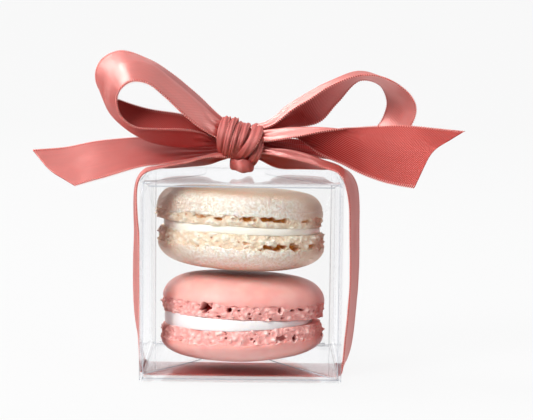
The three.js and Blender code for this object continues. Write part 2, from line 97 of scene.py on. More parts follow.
RIGHT_TAIL = [
    [[1.5, -3.4, 60.4], [1.5, -3.0, 62.0], [1.5, -0.6, 61.2]],
    [[6.4, -6.6, 60.3], [6.4, -4.6, 63.2], [6.5, -1.2, 61.2]],
    [[10.8, -8.0, 61.0], [10.6, -6.0, 64.1], [10.8, -1.6, 61.4]],
    [[14.3, -9.4, 61.8], [14.4, -7.2, 64.4], [14.5, -2.6, 60.7]],
    [[19.7, -11.0, 63.1], [19.8, -9.0, 64.5], [20.0, -4.6, 56.8]],
    [[25.3, -12.2, 64.1], [25.4, -11.0, 63.6], [25.6, -7.2, 54.5]],
    [[30.2, -12.8, 64.6], [30.4, -12.8, 61.0], [30.6, -10.7, 52.3]],
    [[34.8, -14.2, 65.0], [35.0, -14.6, 60.0], [35.2, -13.6, 50.9]],
    [[41.0, -16.2, 65.3], [39.8, -17.0, 59.4], [39.6, -16.8, 50.1]],
    [[55.6, -18.6, 64.1], [47.4, -20.0, 59.3], [43.1, -19.6, 49.8]],
]
LEFT_TAIL = [
    [[-2.0, 1.0, 56.8], [-2.0, 1.8, 58.0], [-2.0, 3.0, 59.2]],
    [[-9.9, 1.6, 55.3], [-10.0, 3.4, 56.8], [-10.1, 6.0, 58.2]],
    [[-16.4, 1.3, 54.3], [-16.5, 4.0, 56.8], [-16.8, 8.2, 59.3]],
    [[-21.5, -0.8, 53.5], [-21.8, 3.0, 56.8], [-22.2, 8.8, 59.8]],
    [[-26.8, -4.0, 53.0], [-27.2, 2.0, 56.4], [-27.7, 8.4, 59.9]],
    [[-36.3, -7.0, 50.3], [-37.0, 0.0, 54.7], [-38.1, 6.0, 59.0]],
    [[-41.6, -8.0, 48.8], [-44.0, -1.0, 53.0], [-46.5, 4.0, 57.5]],
    [[-43.2, -8.2, 48.4], [-50.2, -3.0, 51.6], [-55.3, 1.0, 56.8]],
]
BAND = [
    [[-2.0, -3.0, 56.0], [-2.0, -1.4, 56.5], [-2.0, 0.4, 56.6]],
    [[-9.0, -7.0, 56.0], [-9.1, -3.5, 56.3], [-9.2, 6.0, 53.1]],
    [[-14.7, -12.0, 55.0], [-14.7, -6.4, 55.3], [-14.5, 5.0, 52.5]],
    [[-19.5, -16.8, 54.3], [-19.6, -10.2, 54.4], [-19.5, 1.0, 52.4]],
    [[-24.5, -20.8, 53.0], [-24.8, -13.5, 53.0], [-25.2, -6.0, 52.7]],
    [[-26.2, -21.0, 50.4], [-26.8, -13.4, 50.0], [-27.5, -5.8, 49.6]],
    [[-25.9, -18.4, 34.0], [-27.0, -10.7, 34.0], [-28.2, -3.0, 34.0]],
    [[-25.9, -16.0, 15.0], [-27.0, -8.2, 15.0], [-28.2, -0.4, 15.0]],
    [[-25.95, -13.9, 3.0], [-26.1, -5.9, 3.0], [-26.3, 2.1, 3.0]],
    [[-25.5, -13.5, 0.7], [-25.5, -5.5, 0.7], [-25.6, 2.5, 0.7]],
    [[-24.2, -13.5, 0.25], [-24.2, -5.5, 0.25], [-24.2, 2.5, 0.25]],
    [[-22.5, -13.5, 0.18], [-22.5, -5.5, 0.18], [-22.5, 2.5, 0.18]],
    [[-20.0, -13.5, 0.175], [-20.0, -5.5, 0.175], [-20.0, 2.5, 0.175]],
    [[0.0, -13.5, 0.175], [0.0, -5.5, 0.175], [0.0, 2.5, 0.175]],
    [[20.0, -13.5, 0.175], [20.0, -5.5, 0.175], [20.0, 2.5, 0.175]],
    [[22.5, -13.5, 0.18], [22.5, -5.5, 0.18], [22.5, 2.5, 0.18]],
    [[24.2, -13.5, 0.25], [24.2, -5.5, 0.25], [24.4, 2.5, 0.25]],
    [[25.6, -13.6, 0.75], [26.3, -5.6, 0.6], [27.2, 2.3, 0.6]],
    [[26.1, -13.9, 2.5], [27.2, -5.9, 2.6], [28.4, 2.0, 2.8]],
    [[26.5, -15.0, 8.5], [28.0, -7.1, 8.5], [29.5, 0.8, 8.5]],
    [[27.5, -15.8, 20.0], [29.1, -8.0, 20.0], [30.4, 0.0, 20.0]],
    [[27.4, -16.6, 36.0], [29.2, -8.8, 36.0], [30.5, -0.8, 36.0]],
    [[26.6, -16.8, 48.5], [28.4, -9.2, 48.8], [29.6, -1.4, 49.0]],
    [[24.8, -15.8, 52.6], [25.8, -9.4, 53.6], [26.8, -0.8, 52.4]],
    [[19.8, -11.5, 54.2], [19.9, -9.0, 56.2], [20.4, 3.6, 52.2]],
    [[14.7, -9.0, 55.4], [14.7, -7.0, 57.8], [15.4, 5.4, 52.2]],
    [[9.5, -7.2, 56.4], [9.5, -5.2, 58.6], [9.4, 5.0, 52.4]],
    [[1.5, -3.0, 57.2], [1.5, -2.6, 58.0], [1.5, 0.0, 56.2]],
]

# The knot's wraps, in millimetres. Each is a closed turn round the bundle, given where it passes over the
# top, the front, the bottom and the back: x at those four places, then half widths at top, front and
# bottom, then y of the front, z of the top and z of the bottom.
WRAPS = {
    "left": ((-4.4, -5.5, -5.4, -4.6), (1.0, 1.35, 0.9), -5.6, 65.9, 56.6),
    "second": ((-2.2, -4.0, -4.4, -2.8), (0.85, 0.8, 0.8), -6.3, 65.6, 55.6),
    "third": ((-0.8, -2.5, -3.4, -1.6), (0.7, 0.6, 0.6), -6.5, 64.6, 55.7),
    "hollow": ((0.8, -0.7, -2.6, 0.2), (1.0, 0.9, 0.7), -6.0, 64.2, 56.4),
    "right": ((3.7, 2.3, -1.3, 1.8), (1.5, 1.45, 1.1), -7.0, 64.1, 55.4),
    "outer": ((4.2, 4.2, 1.6, 3.4), (0.7, 0.9, 1.3), -5.4, 62.4, 53.8),
}

# The macarons, in millimetres and degrees: the left side high for roll, the front high for pitch. Hollows
# are angle round from the front, share of the foot's height from the filling, width, height and depth.
MACARONS = {
    "pink": {
        "radius": 21.4,
        "centre": (0.3, -0.6),
        "roll": -1.0,
        "pitch": 4.2,
        "filling": {
            "left": 2.8, "right": 0.7, "inset": 1.7, "shift": -0.8, "oval": 0.94,
            "drips": [(-8, 34, 0.5), (28, 16, 0.2), (150, 25, 0.4)],
        },
        "bottom": {
            "dome": 6.1, "foot": 3.8, "squareness": 2.7, "seed": 11,
            "hollows": [
                (-37, 0.82, 2.1, 1.5, 1.6), (-29, 0.66, 2.0, 2.6, 0.6), (-19, 0.72, 1.0, 0.9, 0.8),
                (-13, 0.80, 0.9, 0.9, 0.9), (-2, 0.86, 1.4, 1.3, 1.5), (9, 0.78, 0.8, 0.7, 0.7),
                (10, 0.35, 0.6, 0.6, 0.5), (29, 0.74, 3.0, 2.0, 0.8), (41, 0.80, 1.2, 1.6, 1.4),
            ],
        },
        "top": {
            "dome": 7.0, "foot": 3.6, "squareness": 4.4, "shift": 0.3, "seed": 13,
            "hollows": [
                (-26.5, 0.66, 3.0, 2.2, 2.4), (-9, 0.68, 1.6, 1.6, 1.8), (-2.7, 0.70, 0.8, 0.7, 0.7),
                (26.5, 0.72, 0.8, 1.3, 1.0), (37, 0.84, 1.6, 1.1, 1.2), (45, 0.84, 1.8, 0.9, 1.0),
                (54, 0.60, 0.9, 0.8, 0.8), (-16.5, 0.16, 1.3, 0.5, 0.7), (5.5, 0.14, 1.0, 0.5, 0.6),
                (20, 0.14, 1.3, 0.5, 0.6), (29, 0.20, 0.8, 0.6, 0.6),
            ],
        },
    },
    "cream": {
        "radius": 21.9,
        "centre": (-0.6, -0.6),
        "roll": 2.4,
        "pitch": 3.0,
        "filling": {
            "left": 1.5, "right": 1.1, "inset": 1.7, "shift": 0.0, "oval": 0.96,
            "drips": [(-50, 14, 0.9), (120, 20, 0.6)],
        },
        "bottom": {
            "dome": 6.5, "foot": 3.8, "squareness": 3.6, "seed": 29,
            "hollows": [
                (-64, 0.30, 1.3, 1.3, 0.9), (-40, 0.66, 3.2, 2.7, 0.8), (-30, 0.72, 1.7, 1.4, 1.0),
                (-7, 0.68, 4.6, 2.2, 0.7), (-3, 0.84, 1.6, 1.1, 1.3), (4, 0.60, 2.2, 1.0, 0.7),
                (20, 0.80, 5.0, 1.5, 1.3), (27, 0.84, 4.2, 1.9, 2.0), (39, 0.78, 3.8, 2.1, 1.7),
                (59, 0.74, 3.0, 1.3, 1.0),
            ],
        },
        "top": {
            "dome": 6.3, "foot": 2.5, "squareness": 9.0, "shift": -0.8, "seed": 31,
            "hollows": [
                (-38, 0.76, 0.7, 0.8, 0.6), (-27, 0.74, 3.5, 0.8, 0.8), (-14, 0.72, 1.8, 1.1, 1.1),
                (6, 0.72, 4.4, 1.3, 1.3), (22, 0.80, 6.4, 1.1, 1.4), (33, 0.76, 2.0, 1.0, 1.1),
                (51, 0.74, 5.6, 0.9, 0.9),
            ],
        },
    },
}


# Settings that a user would change


class FilmSettings(bpy.types.PropertyGroup):
    """Sizes and colours of the clear box"""

    side: FloatProperty(
        name="Side",
        description="Outside length of the box's edges",
        default=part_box("clear_box")[1].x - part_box("clear_box")[0].x,
        unit="LENGTH",
    )
    underside: FloatProperty(
        name="Underside",
        description="Height of the box's underside, which stands on the ribbon",
        default=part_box("clear_box")[0].z,
        unit="LENGTH",
    )
    thickness: FloatProperty(
        name="Film Thickness",
        description="Thickness of the folded sheet",
        default=0.28 * MM,
        unit="LENGTH",
    )
    fold_radius: FloatProperty(
        name="Fold Radius",
        description="Outside radius of the creases between two walls",
        default=1.0 * MM,
        unit="LENGTH",
    )
    tuck: FloatProperty(
        name="Tuck Flap",
        description="How far a tuck flap reaches into the box",
        default=7.0 * MM,
        unit="LENGTH",
    )


class MacaronSettings(bpy.types.PropertyGroup):
    """Crumb of the macarons' feet, and the colours of both flavours"""

    crumb: FloatProperty(
        name="Crumb Size",
        description="Usual size of the bulges on a baked foot",
        default=1.1 * MM,
        unit="LENGTH",
    )
    crumb_relief: FloatProperty(
        name="Crumb Relief",
        description="How far the bulges stand out",
        default=0.42 * MM,
        unit="LENGTH",
    )
    pink: FloatVectorProperty(
        name="Pink Shell",
        description="Colour of the lower macaron's shells, in sRGB",
        default=(0.945, 0.725, 0.690),
        subtype="COLOR_GAMMA",
        min=0,
        max=1,
    )
    cream: FloatVectorProperty(
        name="Cream Shell",
        description="Colour of the upper macaron's shells, in sRGB",
        default=(0.860, 0.730, 0.600),
        subtype="COLOR_GAMMA",
        min=0,
        max=1,
    )


class RibbonSettings(bpy.types.PropertyGroup):
    """The satin ribbon"""

    width: FloatProperty(
        name="Ribbon Width",
        description="Width that the ribbon was cut to",
        default=16 * MM,
        unit="LENGTH",
    )
    thickness: FloatProperty(
        name="Ribbon Thickness",
        description="Thickness of the ribbon between its selvedges",
        default=0.3 * MM,
        unit="LENGTH",
    )
    stitch: FloatProperty(
        name="Selvedge Stitch",
        description="Spacing of the loops along a selvedge",
        default=0.60 * MM,
        unit="LENGTH",
    )
    colour: FloatVectorProperty(
        name="Satin Colour",
        description="Colour of the satin face, in sRGB",
        default=(0.800, 0.365, 0.335),
        subtype="COLOR_GAMMA",
        min=0,
        max=1,
    )
    back_colour: FloatVectorProperty(
        name="Back Colour",
        description="Colour of the woven back, in sRGB",
        default=(0.665, 0.165, 0.135),
        subtype="COLOR_GAMMA",
        min=0,
        max=1,
    )


class StageSettings(bpy.types.PropertyGroup):
    """Floor and light"""

    window_power: FloatProperty(
        name="Window Light",
        description="Power of the soft light behind on the left, which the satin reflects",
        default=8.5,
        unit="POWER",
    )
    key_power: FloatProperty(
        name="Key Light",
        description="Power of the soft light above, in front and on the left",
        default=14.5,
        unit="POWER",
    )
    fill_power: FloatProperty(
        name="Fill Light",
        description="Power of the soft light low in front on the right",
        default=2.8,
        unit="POWER",
    )
    sky: FloatProperty(
        name="Room Light",
        description="Strength of the even light from all round",
        default=0.80,
        min=0,
    )


# Numbers and arrays


def linear(colour):
    """An sRGB colour, a hex string or three shares, as linear RGBA: each share c below 0.04045 is c /
    12.92, and above it ((c + 0.055) / 1.055) ^ 2.4."""
    if isinstance(colour, str):
        colour = [int(colour[i : i + 2], 16) / 255 for i in (1, 3, 5)]
    shares = [c / 12.92 if c <= 0.04045 else ((c + 0.055) / 1.055) ** 2.4 for c in colour]
    return (*shares, 1.0)


def ease(low, high, value):
    """0 below low, 1 above high and 3t^2 - 2t^3 between, for arrays. high may be the smaller one."""
    t = np.clip((value - low) / (high - low), 0, 1)
    return t * t * (3 - 2 * t)


def lattice(cells, seed):
    """One number from 0 to 1 for each whole-numbered cell: its three coordinates times large odd numbers,
    mixed by shifts."""
    cells = cells.astype(np.int64).astype(np.uint64)
    mixed = cells[..., 0] * np.uint64(0x9E3779B97F4A7C15)
    mixed ^= cells[..., 1] * np.uint64(0xC2B2AE3D27D4EB4F)
    mixed ^= cells[..., 2] * np.uint64(0x165667B19E3779F9)
    mixed ^= np.uint64(seed * 7919 + 17)
    for shift in (31, 29, 33):
        mixed ^= mixed >> np.uint64(shift)
        mixed *= np.uint64(0xD6E8FEB86659FD93)
    return (mixed >> np.uint64(40)).astype(float) / 2**24


def noise(points, size, seed):
    """Smooth noise from -1 to 1: the eight numbers at the corners of each cubic cell of that size, blended
    by the eased place in the cell."""
    place = points / size
    cell = np.floor(place)
    part = place - cell
    part = part * part * (3 - 2 * part)
    total = 0
    for corner in itertools.product((0, 1), repeat=3):
        weight = np.prod(np.abs(1 - np.array(corner) - part), axis=-1)
        total = total + weight * lattice(cell + corner, seed)
    return 2 * total - 1


def lumps(points, size, seed, reach, least=0.0):
    """Round soft lumps: the sum over the cells around of w exp(-(d / reach)^2), with d the distance in
    cells to one random point in each cell, and w that point's random number from 0 to 1, or 0 where it is
    below least."""
    place = points / size
    cell = np.floor(place)
    total = 0
    for step in itertools.product((-1, 0, 1), repeat=3):
        other = cell + step
        middle = other + np.stack([lattice(other, seed + k) for k in (1, 2, 3)], -1)
        weight = lattice(other, seed + 4)
        weight = np.where(weight < least, 0, weight)
        total = total + weight * np.exp(-((place - middle) ** 2).sum(axis=-1) / reach**2)
    return total


def catmull_rom(points, params):
    """Centripetal Catmull-Rom curves through points (n, ..., 3) at params from 0 to n - 1. Each stretch is
    a cubic whose end slopes come from the square roots of the distances between its neighbours, with the
    end points mirrored."""
    first = 2 * points[:1] - points[1:2]
    last = 2 * points[-1:] - points[-2:-1]
    padded = np.concatenate([first, points, last])
    index = np.clip(np.floor(params).astype(int), 0, len(points) - 2)
    share = (params - index).reshape(-1, *[1] * (points.ndim - 1))
    p0, p1, p2, p3 = (padded[index + k] for k in range(4))
    pairs = ((p0, p1), (p1, p2), (p2, p3))
    d0, d1, d2 = (np.linalg.norm(b - a, axis=-1, keepdims=True) ** 0.5 for a, b in pairs)
    slope1 = ((p1 - p0) / d0 - (p2 - p0) / (d0 + d1) + (p2 - p1) / d1) * d1
    slope2 = ((p2 - p1) / d1 - (p3 - p1) / (d1 + d2) + (p3 - p2) / d2) * d1
    cubic = (2 * p1 - 2 * p2 + slope1 + slope2) * share**3
    square = (-3 * p1 + 3 * p2 - 2 * slope1 - slope2) * share**2
    return cubic + square + slope1 * share + p1


def lengths_along(points):
    """Distance along each line of a grid of points (steps, ..., 3) from its start."""
    steps = np.linalg.norm(np.diff(points, axis=0), axis=-1)
    return np.concatenate([np.zeros_like(steps[:1]), np.cumsum(steps, axis=0)])


# Meshes


def grid_faces(rows, columns, around=False, over=False):
    """Quads between neighbouring rows and columns of a grid of vertices, closed around the columns or over
    the rows where asked."""
    i = np.arange(rows if over else rows - 1)
    j = np.arange(columns if around else columns - 1)
    i, j = np.meshgrid(i, j, indexing="ij")
    next_i, next_j = (i + 1) % rows, (j + 1) % columns
    corners = [i * columns + j, i * columns + next_j, next_i * columns + next_j, next_i * columns + j]
    return np.stack(corners, -1).reshape(-1, 4)


def fan_faces(middle, ring):
    """Triangles from one vertex to each two neighbours of a closed ring."""
    return np.stack([np.full(len(ring), middle), ring, np.roll(ring, -1)], -1)


def make_piece(name, points, faces, uv=None, marks=None, material_of=None):
    """A smooth mesh object from an array of points and a list of face arrays. Faces are turned round if the
    volume that they hold, the sum of a . (b x c) / 6, is negative. uv and marks are numbers for each
    point."""
    points = np.asarray(points, float).reshape(-1, 3)
    volume = 0
    for group in faces:
        for k in range(1, group.shape[1] - 1):
            a, b, c = points[group[:, 0]], points[group[:, k]], points[group[:, k + 1]]
            volume += np.einsum("ij,ij->", a, np.cross(b, c))
    if volume < 0:
        faces = [group[:, ::-1] for group in faces]
    corners = np.concatenate([group.ravel() for group in faces])
    sizes = np.concatenate([np.full(len(group), group.shape[1]) for group in faces])
    mesh = bpy.data.meshes.new(name)
    mesh.vertices.add(len(points))
    mesh.vertices.foreach_set("co", points.ravel())
    mesh.loops.add(len(corners))
    mesh.loops.foreach_set("vertex_index", corners)
    mesh.polygons.add(len(sizes))
    mesh.polygons.foreach_set("loop_start", np.cumsum(sizes) - sizes)
    mesh.polygons.foreach_set("use_smooth", np.ones(len(sizes), bool))
    if material_of is not None:
        mesh.polygons.foreach_set("material_index", material_of)
    mesh.update(calc_edges=True)
    if uv is not None:
        layer = mesh.uv_layers.new(name="weave")
        layer.data.foreach_set("uv", uv.reshape(-1, 2)[corners].ravel())
    for label, values in (marks or {}).items():
        attribute = mesh.attributes.new(label, "FLOAT", "POINT")
        attribute.data.foreach_set("value", np.asarray(values, float).ravel())
    piece = bpy.data.objects.new(name, mesh)
    bpy.context.scene.collection.objects.link(piece)
    return piece


def dress(piece, slot, *materials):
    """Gives a piece its materials and the body that it rides on. Its slot argument is not used."""
    for material in materials:
        piece.data.materials.append(material)
    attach(piece, "root")
    return piece


# Materials

# The sockets of a Mix node that mixes two colours, and its output
FACTOR, UNDER, OVER, MIXED = 0, 6, 7, 2


def add_node(tree, kind, sockets=None, give=0, **settings):
    """Adds a node with its settings and returns its output give, by name or number. Each of the sockets, by
    name or number too, gets a value or another node's output."""
    made = tree.nodes.new("ShaderNode" + kind)
    for name, value in settings.items():
        setattr(made, name, value)
    for key, value in (sockets or {}).items():
        if isinstance(value, bpy.types.NodeSocket):
            tree.links.new(value, made.inputs[key])
        else:
            made.inputs[key].default_value = value
    return made.outputs[give] if made.outputs else None


def new_material(name):
    """A new material and its tree, still without nodes."""
    material = bpy.data.materials.new(name)
    material.use_nodes = True
    material.node_tree.nodes.clear()
    return material, material.node_tree


def ribbon_material(name, settings, shiny, roughness):
    """Woven polyester, dyed. The satin face has long smooth floats, so it shines broadly across the ribbon
    and its colour fades to a pale rose in the light. The back shows the binding points as fine diagonal
    rows, and is deeper and duller. Where the knot shades it, both faces get painted shade: a deeper colour,
    with less gloss and weave. Along both selvedges the stitch loops are painted pale as highlight, and the
    gaps between them deep as shade."""
    material, tree = new_material(name)
    uv = add_node(tree, "UVMap", uv_map="weave")
    selvedge, painted_shade, stitch = (
        add_node(tree, "Attribute", give="Fac", attribute_name=mark)
        for mark in ("selvedge", "painted_shade", "stitch")
    )

    # UV is in millimetres, across and along. The rows' pitch, taken as 0.25 mm on the real one, is drawn as
    # 0.6.
    pitch = 0.6
    across, along = (add_node(tree, "SeparateXYZ", {0: uv}, axis) for axis in "XY")
    diagonal = add_node(tree, "Math", {0: across, 1: along}, operation="ADD")
    phase = add_node(tree, "Math", {0: diagonal, 1: 2 * math.pi / pitch}, operation="MULTIPLY")
    twill = add_node(tree, "Math", {0: phase}, operation="SINE")
    points = add_node(tree, "MapRange", {"Value": twill, "To Max": 0.30 if shiny else 0.52})
    open_weave = add_node(tree, "MapRange", {"Value": painted_shade, "To Min": 1.0, "To Max": 0.8})
    points = add_node(tree, "Math", {0: points, 1: open_weave}, operation="MULTIPLY")
    # threads run along the ribbon: streaks 0.4 mm wide and 14 mm long
    streaks = add_node(tree, "VectorMath", {0: uv, 1: (2.6, 0.07, 1)}, operation="MULTIPLY")
    threads = add_node(
        tree, "TexNoise", {"Vector": streaks, "Scale": 1.0, "Detail": 3.0, "Roughness": 0.6}, "Fac"
    )

    base = settings.colour if shiny else settings.back_colour
    colour = linear([0.80 * c for c in base])
    # stitch loops painted pale as highlight, the gaps between them deep as painted shade
    stitch_highlight_and_shade = {FACTOR: stitch, UNDER: linear("#94211F"), OVER: linear("#F0A9A0")}
    stitch_highlight_and_shade = add_node(tree, "Mix", stitch_highlight_and_shade, MIXED, data_type="RGBA")
    # painted shade by the knot deepens the colour before the weave and the selvedge go over it
    layers = (
        (threads, linear(base)),
        (painted_shade, linear("#860C0B")),
        (points, linear("#E08A82")),
        (selvedge, stitch_highlight_and_shade),
    )
    for share, over in layers:
        colour = add_node(tree, "Mix", {FACTOR: share, UNDER: colour, OVER: over}, MIXED, data_type="RGBA")

    weave_depth = 0.5 if shiny else 1.0
    relief = add_node(tree, "Math", {0: twill, 1: weave_depth, 2: threads}, operation="MULTIPLY_ADD")
    bump = add_node(tree, "Bump", {"Strength": 0.6, "Distance": 0.05 * MM, "Height": relief})
    tangent = add_node(tree, "Tangent", direction_type="UV_MAP", uv_map="weave")
    dulled = add_node(tree, "MapRange", {"Value": selvedge, "To Min": roughness, "To Max": 0.75})
    # less gloss on the selvedge, and where painted shade lies
    edge_and_painted_shade = add_node(tree, "Math", {0: selvedge, 1: painted_shade}, operation="MAXIMUM")
    gloss = add_node(tree, "MapRange", {"Value": edge_and_painted_shade, "To Min": 1.0 if shiny else 0.45, "To Max": 0.1})
    looks = {
        "Base Color": colour,
        "Roughness": dulled,
        "Metallic": 0.25 if shiny else 0.35,
        "IOR": 2.2 if shiny else 1.6,
        "Specular IOR Level": gloss,
        "Specular Tint": linear("#FFE0DA"),
        "Anisotropic": 0.8 if shiny else 0.5,
        "Subsurface Weight": 0.4,
        "Subsurface Radius": (0.8, 0.08, 0.07),
        "Subsurface Scale": 1.0 * MM,
        "Normal": bump,
        "Tangent": tangent,
    }
    add_node(tree, "OutputMaterial", {"Surface": add_node(tree, "BsdfPrincipled", looks)})
    return material


def film_material(name):
    """PET film, extruded and glossy: it shows what is behind it, and reflects more the flatter it is looked
    along. The share that each of a sheet's faces reflects is 0.005 + 0.65 (1 - cos)^5. Scored folds are
    whitened: a hazy line along each side of the bend."""
    material, tree = new_material(name)
    crease = add_node(tree, "Attribute", give="Fac", attribute_name="crease")
    facing = add_node(tree, "LayerWeight", {"Blend": 0.5}, "Facing")
    grazing = add_node(tree, "Math", {0: facing, 1: 5.0}, operation="POWER")
    share = add_node(tree, "Math", {0: grazing, 1: 0.65, 2: 0.005}, operation="MULTIPLY_ADD")
    clear = add_node(tree, "BsdfTransparent", {"Color": linear("#FEFEFE")})
    gloss = add_node(tree, "BsdfGlossy", {"Color": linear("#FFFFFF"), "Roughness": 0.03})
    haze = add_node(tree, "BsdfPrincipled", {"Base Color": linear("#C3C7CE"), "Roughness": 0.3, "IOR": 1.57})
    sheet = add_node(tree, "MixShader", {0: share, 1: clear, 2: gloss})
    folded = add_node(tree, "MixShader", {0: crease, 1: sheet, 2: haze})
    add_node(tree, "OutputMaterial", {"Surface": folded})
    return material


def film_edge_material(name):
    """The cut edge of PET film: die cut, a little rough, so it gathers light and shows as a pale grey
    line."""
    material, tree = new_material(name)
    clear = add_node(tree, "BsdfTransparent", {"Color": linear("#E8EBEE")})
    frosted = {"Base Color": linear("#C0C5CC"), "Roughness": 0.35, "IOR": 1.57}
    frosted = add_node(tree, "BsdfPrincipled", frosted)
    mixed = add_node(tree, "MixShader", {0: 0.55, 1: clear, 2: frosted})
    add_node(tree, "OutputMaterial", {"Surface": mixed})
    return material


def shell_material(name, dome, foot, foot_in_shade, baked, hollow, pearl):
    """Almond meringue, piped and baked: a thin matte skin with the finest almond specks and a grain like an
    eggshell, over an open crumb. The crumb is painted paler on its bulges as light and darker between them
    as shade, with deeper painted shade inside its hollows and between its lumps. The skin is browner near
    the rim, with painted shade over its crown. pearl is how much lustre dust the skin has; the dust lies on
    the front only and is kept off the crown, nearly white as painted front light, and whitest on the tops
    of a leathery grain as painted glints."""
    material, tree = new_material(name)
    place = add_node(tree, "TexCoord", give="Object")
    on_foot, hollow_shade, bake_and_shade, crumb, dust = (
        add_node(tree, "Attribute", give="Fac", attribute_name=mark)
        for mark in ("foot", "hollow", "bake_and_shade", "crumb", "dust")
    )
    # cloudy patches about 4 mm across, specks about 0.4 mm, and a leathery grain of 0.7 mm and finer
    clouds = add_node(tree, "TexNoise", {"Vector": place, "Scale": 250, "Detail": 3.0}, "Fac")
    specks = add_node(tree, "TexNoise", {"Vector": place, "Scale": 2600, "Detail": 2.0}, "Fac")
    leather = {"Vector": place, "Scale": 1500, "Detail": 3.0, "Roughness": 0.7, "Distortion": 0.6}
    leather = add_node(tree, "TexNoise", leather, "Fac")
    clouded = {"Value": clouds, "From Min": 0.35, "From Max": 0.7, "To Max": 0.45}
    clouded = add_node(tree, "MapRange", clouded)
    # the browning mark also carries painted shade over the crown
    rim_browning_and_crown_shade = add_node(tree, "Math", {0: bake_and_shade, 1: 0.5}, operation="MULTIPLY")
    # the grain's tops are painted whitest where the dust lies, as glints
    painted_glints = {"Value": leather, "From Min": 0.38, "From Max": 0.60, "To Min": 0.35 * pearl, "To Max": pearl}
    painted_glints = add_node(tree, "MapRange", painted_glints)
    lustre = add_node(tree, "Math", {0: dust, 1: painted_glints}, operation="MULTIPLY")
    # the foot is paler on its bulges as painted light, and darker between them as painted shade
    inside = {FACTOR: crumb, UNDER: linear(foot_in_shade), OVER: linear(foot)}
    inside = add_node(tree, "Mix", inside, MIXED, data_type="RGBA")
    colour = linear(dome)
    layers = (
        (clouded, linear(baked)),
        (rim_browning_and_crown_shade, linear(baked)),
        (lustre, linear("#FDFAF0")),
        (on_foot, inside),
        # painted shade in the hollows and between the lumps
        (hollow_shade, linear(hollow)),
    )
    for share, over in layers:
        colour = add_node(tree, "Mix", {FACTOR: share, UNDER: colour, OVER: over}, MIXED, data_type="RGBA")

    # from the skin to the foot: rougher, with less light through it and less gloss
    rough, softness, gloss = (
        add_node(tree, "MapRange", {"Value": on_foot, "To Min": skin, "To Max": crust})
        for skin, crust in ((0.45 - 0.1 * pearl, 0.85), (0.8, 0.3), (0.45 + 0.4 * pearl, 0.05))
    )
    grain = {
        "Strength": 0.35 + 0.65 * pearl,
        "Distance": (0.06 + 0.5 * pearl) * MM,
        "Height": leather if pearl else specks,
    }
    looks = {
        "Base Color": colour,
        "Roughness": rough,
        "IOR": 1.45 + 0.4 * pearl,
        "Metallic": 0.35 * pearl,
        "Specular IOR Level": gloss,
        "Subsurface Weight": softness,
        "Subsurface Radius": (1.0, 0.4, 0.3),
        "Subsurface Scale": 2.5 * MM,
        "Normal": add_node(tree, "Bump", grain),
    }
    add_node(tree, "OutputMaterial", {"Surface": add_node(tree, "BsdfPrincipled", looks)})
    return material


def filling_material(name, colour, shade):
    """Buttercream, piped and pressed flat: smooth and fatty, softly shining, with slight cloudy patches."""
    material, tree = new_material(name)
    place = add_node(tree, "TexCoord", give="Object")
    clouds = add_node(tree, "TexNoise", {"Vector": place, "Scale": 320, "Detail": 3.0}, "Fac")
    mixed = {FACTOR: clouds, UNDER: linear(colour), OVER: linear(shade)}
    looks = {
        "Base Color": add_node(tree, "Mix", mixed, MIXED, data_type="RGBA"),
        "Roughness": 0.42,
        "IOR": 1.46,
        "Subsurface Weight": 0.35,
        "Subsurface Radius": (1.0, 0.8, 0.6),
        "Subsurface Scale": 1.0 * MM,
        "Normal": add_node(tree, "Bump", {"Strength": 0.2, "Distance": 0.05 * MM, "Height": clouds}),
    }
    add_node(tree, "OutputMaterial", {"Surface": add_node(tree, "BsdfPrincipled", looks)})
    return material


def paper_material(name, colour, glow):
    """Seamless background paper, matte. glow is light of its own that stands for a lit backdrop."""
    material, tree = new_material(name)
    looks = {
        "Base Color": linear(colour),
        "Roughness": 0.9,
        "Specular IOR Level": 0.0,
        "Emission Color": (1, 1, 1, 1),
        "Emission Strength": glow,
    }
    add_node(tree, "OutputMaterial", {"Surface": add_node(tree, "BsdfPrincipled", looks)})
    return material


def named_material(name, make, *args):
    """The material of that name, made the first time that it is asked for."""
    return bpy.data.materials.get(name) or make(name, *args)


# Ribbon


def across_strip(rails, t, softness):
    """Points across the ribbon, t from 0 at the near selvedge to 1 at the far one. Two straight flaps meet
    at the fold at t = 0.5, and the corner between them is rounded by a parabola as wide as softness to each
    side."""
    near, fold, far = (rails[:, k, None, :] for k in range(3))
    past = t - 0.5
    rounded = (past + softness) ** 2 / (4 * softness)
    ramp = np.where(np.abs(past) < softness, rounded, np.maximum(past, 0))[None, :, None]
    near_slope, far_slope = 2 * (fold - near), 2 * (far - fold)
    return near + near_slope * t[None, :, None] + (far_slope - near_slope) * ramp


